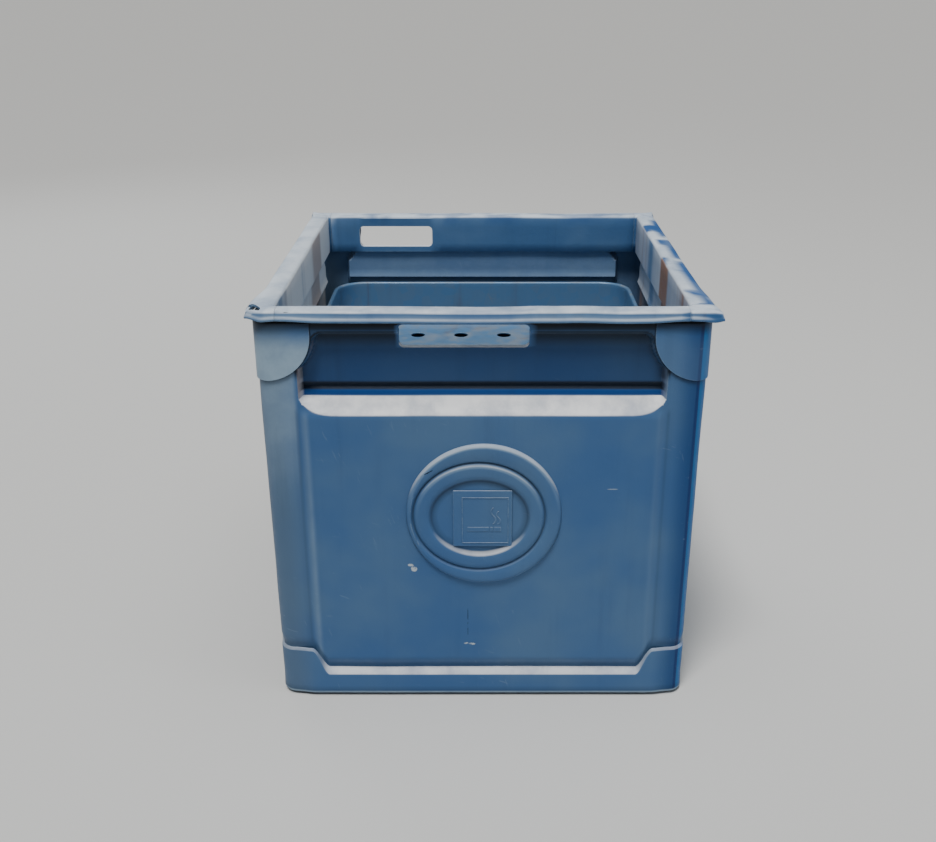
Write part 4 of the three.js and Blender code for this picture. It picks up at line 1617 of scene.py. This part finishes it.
@dataclass
class Liner:
    """The lift-out steel pail, with a shoulder for the grate and a rolled edge."""

    bottom: float = 14.1
    ledge: float = 265.0
    top: float = 318.0
    half_bottom: float = 148.0
    half_ledge: float = 162.0
    half_top: float = 168.5
    radius: float = 30.0
    thick: float = 1.0

    def build(self, coat: bpy.types.Material) -> None:
        """Builds the pail and its lugs."""
        around = plain_stations(10, 12)
        foot = ((30, 12.0, 0), (8, 24.0, 0), (2.2, 28.6, 0.5), (0.4, 29.8, 3))
        rows = [(self.half_bottom - push, radius, self.bottom + rise) for push, radius, rise in foot]
        rows += [(self._half(z), self.radius, z) for z in between(24, 244, 10)]
        for z, groove in ((249, 0.0), (251, 1.1), (253, 1.5), (255, 1.1), (257, 0.0)):
            rows.append((self._half(z) - groove, self.radius, z))
        rows += [(self._half(262.6), self.radius, 262.6), (self.half_ledge + 0.5, self.radius, 263.6)]
        rows += [(self.half_top - 1.9, self.radius, 264.0), (self.half_top - 1.0, self.radius, 264.9)]
        rows += [(self.half_top - 0.6, self.radius, 290.0), (self.half_top, self.radius, 312.0)]
        middle, bead = self.half_top + 1.2, 1.2
        for angle in between(180, -95, 12):
            a = math.radians(angle)
            rows.append((middle + bead * math.cos(a), self.radius + 2, self.top - 2.2 + bead * math.sin(a)))
        made = Shape()
        number = made.sheet([[s.at(h, r, z) for s in around] for h, r, z in rows], across=True)
        made.faces.append(tuple(reversed(number[0])))
        pail = made.object("pail", 70)
        modifier(pail, "SOLIDIFY", thickness=self.thick * MM, offset=-1.0)
        finish(pail, Body.LINER, Slot.COATED, coat, "liner_pail")
        for label, sign in (("left", -1), ("right", 1)):
            self._lug(label, sign, coat)

    def _half(self, z: float) -> float:
        """Gives the pail's half width at a height below the shoulder."""
        share = (z - self.bottom) / (self.ledge - self.bottom)
        return self.half_bottom + share * (self.half_ledge - self.half_bottom)

    def _lug(self, label: str, sign: int, coat: bpy.types.Material) -> None:
        """Builds one lug: a rounded ear with a hole, on a foot with two rivets."""
        foot, pivot, wide = self.top + 0.3, self.top + 11, 9.0
        ear = [(-wide, foot + 0.2), (wide, foot + 0.2)]
        ear += [(wide * math.cos(a), pivot + wide * math.sin(a)) for a in between(0, math.pi, 18)]
        plate = flat_plate(f"lug_{label}", ear, [circle(0, pivot, 2.65, 24)], 2.3, 0.3)
        upright = Matrix(((0, 0, 1, 0), (1, 0, 0, 0), (0, 1, 0, 0), (0, 0, 0, 1)))
        side = Matrix.Rotation(0 if sign > 0 else math.pi, 4, "Z")
        move = side @ Matrix.Translation((169.25 * MM, 0, 0)) @ upright
        plate = baked(plate, move)
        finish(plate, Body.LINER, Slot.COATED, coat, f"bail_lug_{label}")
        base = prism(rounded_box(167.3, 171.6, -13, 13, 1.6), 2, foot, foot + 2.2)
        if sign < 0:
            base = base.turned(2)
        seat = base.object(f"lug_foot_{label}")
        bevelled(seat, 0.5, 40, 2)
        finish(seat, Body.LINER, Slot.COATED, coat, f"bail_lug_{label}")


@dataclass
class Bail:
    """The liner's carrying wire, with a grip, lying on its front edge."""

    pivot_z: float = 329.0
    bar_z: float = 323.8
    arm_x: float = 173.5
    bar_y: float = 172.0
    radius: float = 2.5
    bend: float = 45.0

    def build(self, steel: bpy.types.Material, rubber: bpy.types.Material) -> None:
        """Builds the wire and the grip."""
        x, y = self.arm_x, self.bar_y
        route = [(-x, 0, self.pivot_z), (-x, -y, self.bar_z), (x, -y, self.bar_z), (x, 0, self.pivot_z)]
        bow = wire("bail_bow", route, self.radius, self.bend)
        finish(bow, Body.BAIL, Slot.BRIGHT, steel, "bail_wire")
        pin = [(0.0, 10.0), (1.6, 10.0), (2.2, 9.7), (2.5, 9.1)]
        pin += [(2.5, 0.0), (2.2, -0.3), (1.4, -0.5), (0.0, -0.5)]
        for label, sign in (("left", -1), ("right", 1)):
            lie = Matrix.Rotation(sign * QUARTER, 4, "Y")
            move = Matrix.Translation((sign * 166 * MM, 0, self.pivot_z * MM)) @ lie
            hook = baked(spun(f"bail_hook_{label}", pin, 24), move)
            finish(hook, Body.BAIL, Slot.BRIGHT, steel, "bail_wire")
        grip = [(2.8, 55.0), (4.4, 55.0), (5.3, 53.6), (5.5, 51.5)]
        for ridge in range(16):
            z = 48.0 - ridge * 6.4
            grip += [(5.5, z + 1.6), (5.5, z), (5.1, z - 1.1), (5.0, z - 2.2), (5.3, z - 3.4)]
        grip += [(5.5, -51.5), (5.3, -53.6), (4.4, -55.0), (2.8, -55.0), (2.8, 55.0)]
        lie = Matrix.Rotation(QUARTER, 4, "Y")
        move = Matrix.Translation((0, -self.bar_y * MM, self.bar_z * MM)) @ lie
        sleeve = baked(spun("bail_sleeve", grip, 28), move)
        finish(sleeve, Body.BAIL, Slot.RUBBER, rubber, "bail_grip")


@dataclass
class Grate:
    """The perforated plate that stubs are put out on, with a lifting loop."""

    half: float = 163.8
    radius: float = 27.0
    low: float = 265.3
    thick: float = 1.6
    pitch: float = 50.0
    hole: float = 8.0
    count: int = 6
    leg_x: float = 38.0
    loop_radius: float = 2.9
    loop_height: float = 27.0

    def build(self, coat: bpy.types.Material, steel: bpy.types.Material) -> None:
        """Builds the plate, the loop and its nuts."""
        first = -(self.count - 1) * self.pitch / 2
        holes = []
        for i in range(self.count):
            for j in range(self.count):
                holes.append(circle(first + i * self.pitch, first + j * self.pitch, self.hole, 24))
        holes += [circle(x, 0, self.loop_radius + 0.3, 16) for x in (-self.leg_x, self.leg_x)]
        outline = rounded_box(-self.half, self.half, -self.half, self.half, self.radius)
        plate = flat_plate("grate_plate", outline, holes, self.thick, 0.35)
        move = Matrix.Translation((0, 0, (self.low + self.thick / 2) * MM))
        plate = baked(plate, move)
        finish(plate, Body.GRATE, Slot.COATED, coat, "stub_grate")
        low, high = self.low - 6, self.low + self.thick + self.loop_height
        x = self.leg_x
        route = [(-x, 0, low), (-x, 0, high), (x, 0, high), (x, 0, low)]
        loop = wire("grate_loop", route, self.loop_radius, 12)
        finish(loop, Body.GRATE, Slot.BRIGHT, steel, "grate_handle")
        for label, sign in (("left", -1), ("right", 1)):
            outer = [(sign * x + a, b) for a, b in circle(0, 0, 5.5, 6)[::-1]]
            inner = [(sign * x + a, b) for a, b in circle(0, 0, 3.2, 6)[::-1]]
            top, bottom = self.low - 0.3, self.low - 4.8
            rows = [[(*p, bottom) for p in outer], [(*p, top) for p in outer]]
            rows += [[(*p, top) for p in inner], [(*p, bottom) for p in inner]]
            made = Shape()
            made.sheet(rows, across=True, along=True)
            nut = made.object(f"loop_nut_{label}")
            bevelled(nut, 0.4, 40, 2)
            finish(nut, Body.GRATE, Slot.BRIGHT, steel, f"handle_nut_{label}")


# ---------------------------------------------------------------- the studio


@dataclass
class Studio:
    """The floor, the lights and the camera."""

    lens: float = 42.365
    tilt: float = 22.67
    eye: Point = (0.0, -1.0973, 0.6686)
    shift: float = -0.0155

    def build(self) -> None:
        """Sets the studio up."""
        self._floor()
        sun = bpy.data.lights.new("key", "SUN")
        sun.energy = 2.6
        sun.angle = math.radians(16)
        sun.color = (1.0, 0.985, 0.96)
        key = placed("key", sun)
        key.rotation_euler = Vector((-0.32, -0.72, 2.05)).to_track_quat("Z", "Y").to_euler()
        self._lamp("over", (0.2, -0.3, 2.4), 1.5, 18, (0.96, 0.98, 1.0))
        self._lamp("fill", (1.9, -0.9, 0.9), 1.2, 5, (0.82, 0.91, 1.0))
        self._lamp("back", (-1.3, 1.9, 1.5), 1.2, 9, (0.92, 0.96, 1.0))
        world = bpy.data.worlds.new("studio")
        world.use_nodes = True
        sky = world.node_tree.nodes["Background"]
        sky.inputs["Color"].default_value = (0.9, 0.94, 1.0, 1.0)
        path = world.node_tree.nodes.new("ShaderNodeLightPath")
        power = world.node_tree.nodes.new("ShaderNodeMapRange")
        power.inputs["To Min"].default_value = 0.16
        power.inputs["To Max"].default_value = 0.5
        world.node_tree.links.new(path.outputs["Is Camera Ray"], power.inputs["Value"])
        world.node_tree.links.new(power.outputs["Result"], sky.inputs["Strength"])
        bpy.context.scene.world = world
        camera = bpy.data.cameras.new("camera")
        camera.lens = self.lens
        camera.sensor_width = 36
        camera.shift_x = self.shift
        view = placed("camera", camera)
        view.location = self.eye
        view.rotation_euler = (math.radians(90 - self.tilt), 0, 0)
        bpy.context.scene.camera = view

    @staticmethod
    def _lamp(name: str, place: Point, size: float, power: float, colour: Point) -> None:
        """Adds a square soft light that looks at the bin."""
        light = bpy.data.lights.new(name, "AREA")
        light.shape = "SQUARE"
        light.size = size
        light.energy = power
        light.color = colour
        lamp = placed(name, light)
        lamp.location = place
        lamp.rotation_euler = (Vector(place) - Vector((0, 0, 0.2))).to_track_quat("Z", "Y").to_euler()

    @staticmethod
    def _floor() -> None:
        """Lays a plain pale floor."""
        made = Shape()
        made.sheet([[(-40000, -40000, 0), (40000, -40000, 0)], [(-40000, 40000, 0), (40000, 40000, 0)]])
        floor = made.object("floor")
        paint = Surface("floor_paint", srgb(206, 206, 204), 0.9)
        floor.data.materials.append(paint.close())


def main() -> None:
    """Builds the studio and every sub-assembly in turn."""
    Studio().build()
    pale = srgb(190, 200, 208)
    marks = (
        Mark((-64, -197, 143), (4.5, 6, 5), 1.0, pale),
        Mark((-67, -197, 147), (5, 6, 2.2), 0.9, pale),
        Mark((-12, -197, 60), (9, 6, 2.4), 1.0, pale),
        Mark((-14, -197, 86), (0.9, 6, 26), 0.7, srgb(34, 58, 88)),
        Mark((118, -199, 226), (10, 6, 0.7), 0.5, pale),
        Mark((-50, -200, 243.6), (10, 8, 1.1), 1.0, srgb(20, 34, 54), 29),
    )
    blue = Moulding(marks=marks).make()
    # the rim: pale tops from sun-bleaching and a painted glare, with weaker painted light on the left and
    # painted shade on the right
    rim_blue = Moulding(
        name="pale_rim",
        blue=srgb(66, 106, 150),
        cloudy=srgb(98, 132, 168),
        faded=srgb(212, 222, 231),
        vivid=srgb(34, 84, 142),
        fade_and_glare_from=0.1,
        fade_and_glare_to=0.7,
        marks=(
            Mark((-167, -200, 393.4), (9, 3, 1.2), 1.0, srgb(30, 36, 44)),
            Mark((-199.5, -92, 394), (3.5, 6, 2), 1.0, srgb(30, 34, 40)),
        ),
        left=0.2,
        right=0.3,
        edge=0.6,
        streak=0.2,
        roughness=0.5,
        gloss=0.4,
    ).make()
    coat, steel, rubber = CoatedSteel().make(), BrightSteel().make(), Rubber().make()
    Tub().build(blue)
    Shoe().build(blue)
    for corner in Corner:
        Gusset(corner).build(blue)
    Rim().build(rim_blue)
    Medallion().build(blue)
    Feet().build(rubber, steel)
    Liner().build(coat)
    Bail().build(steel, rubber)
    Grate().build(coat, steel)


if __name__ == "__main__":
    main()
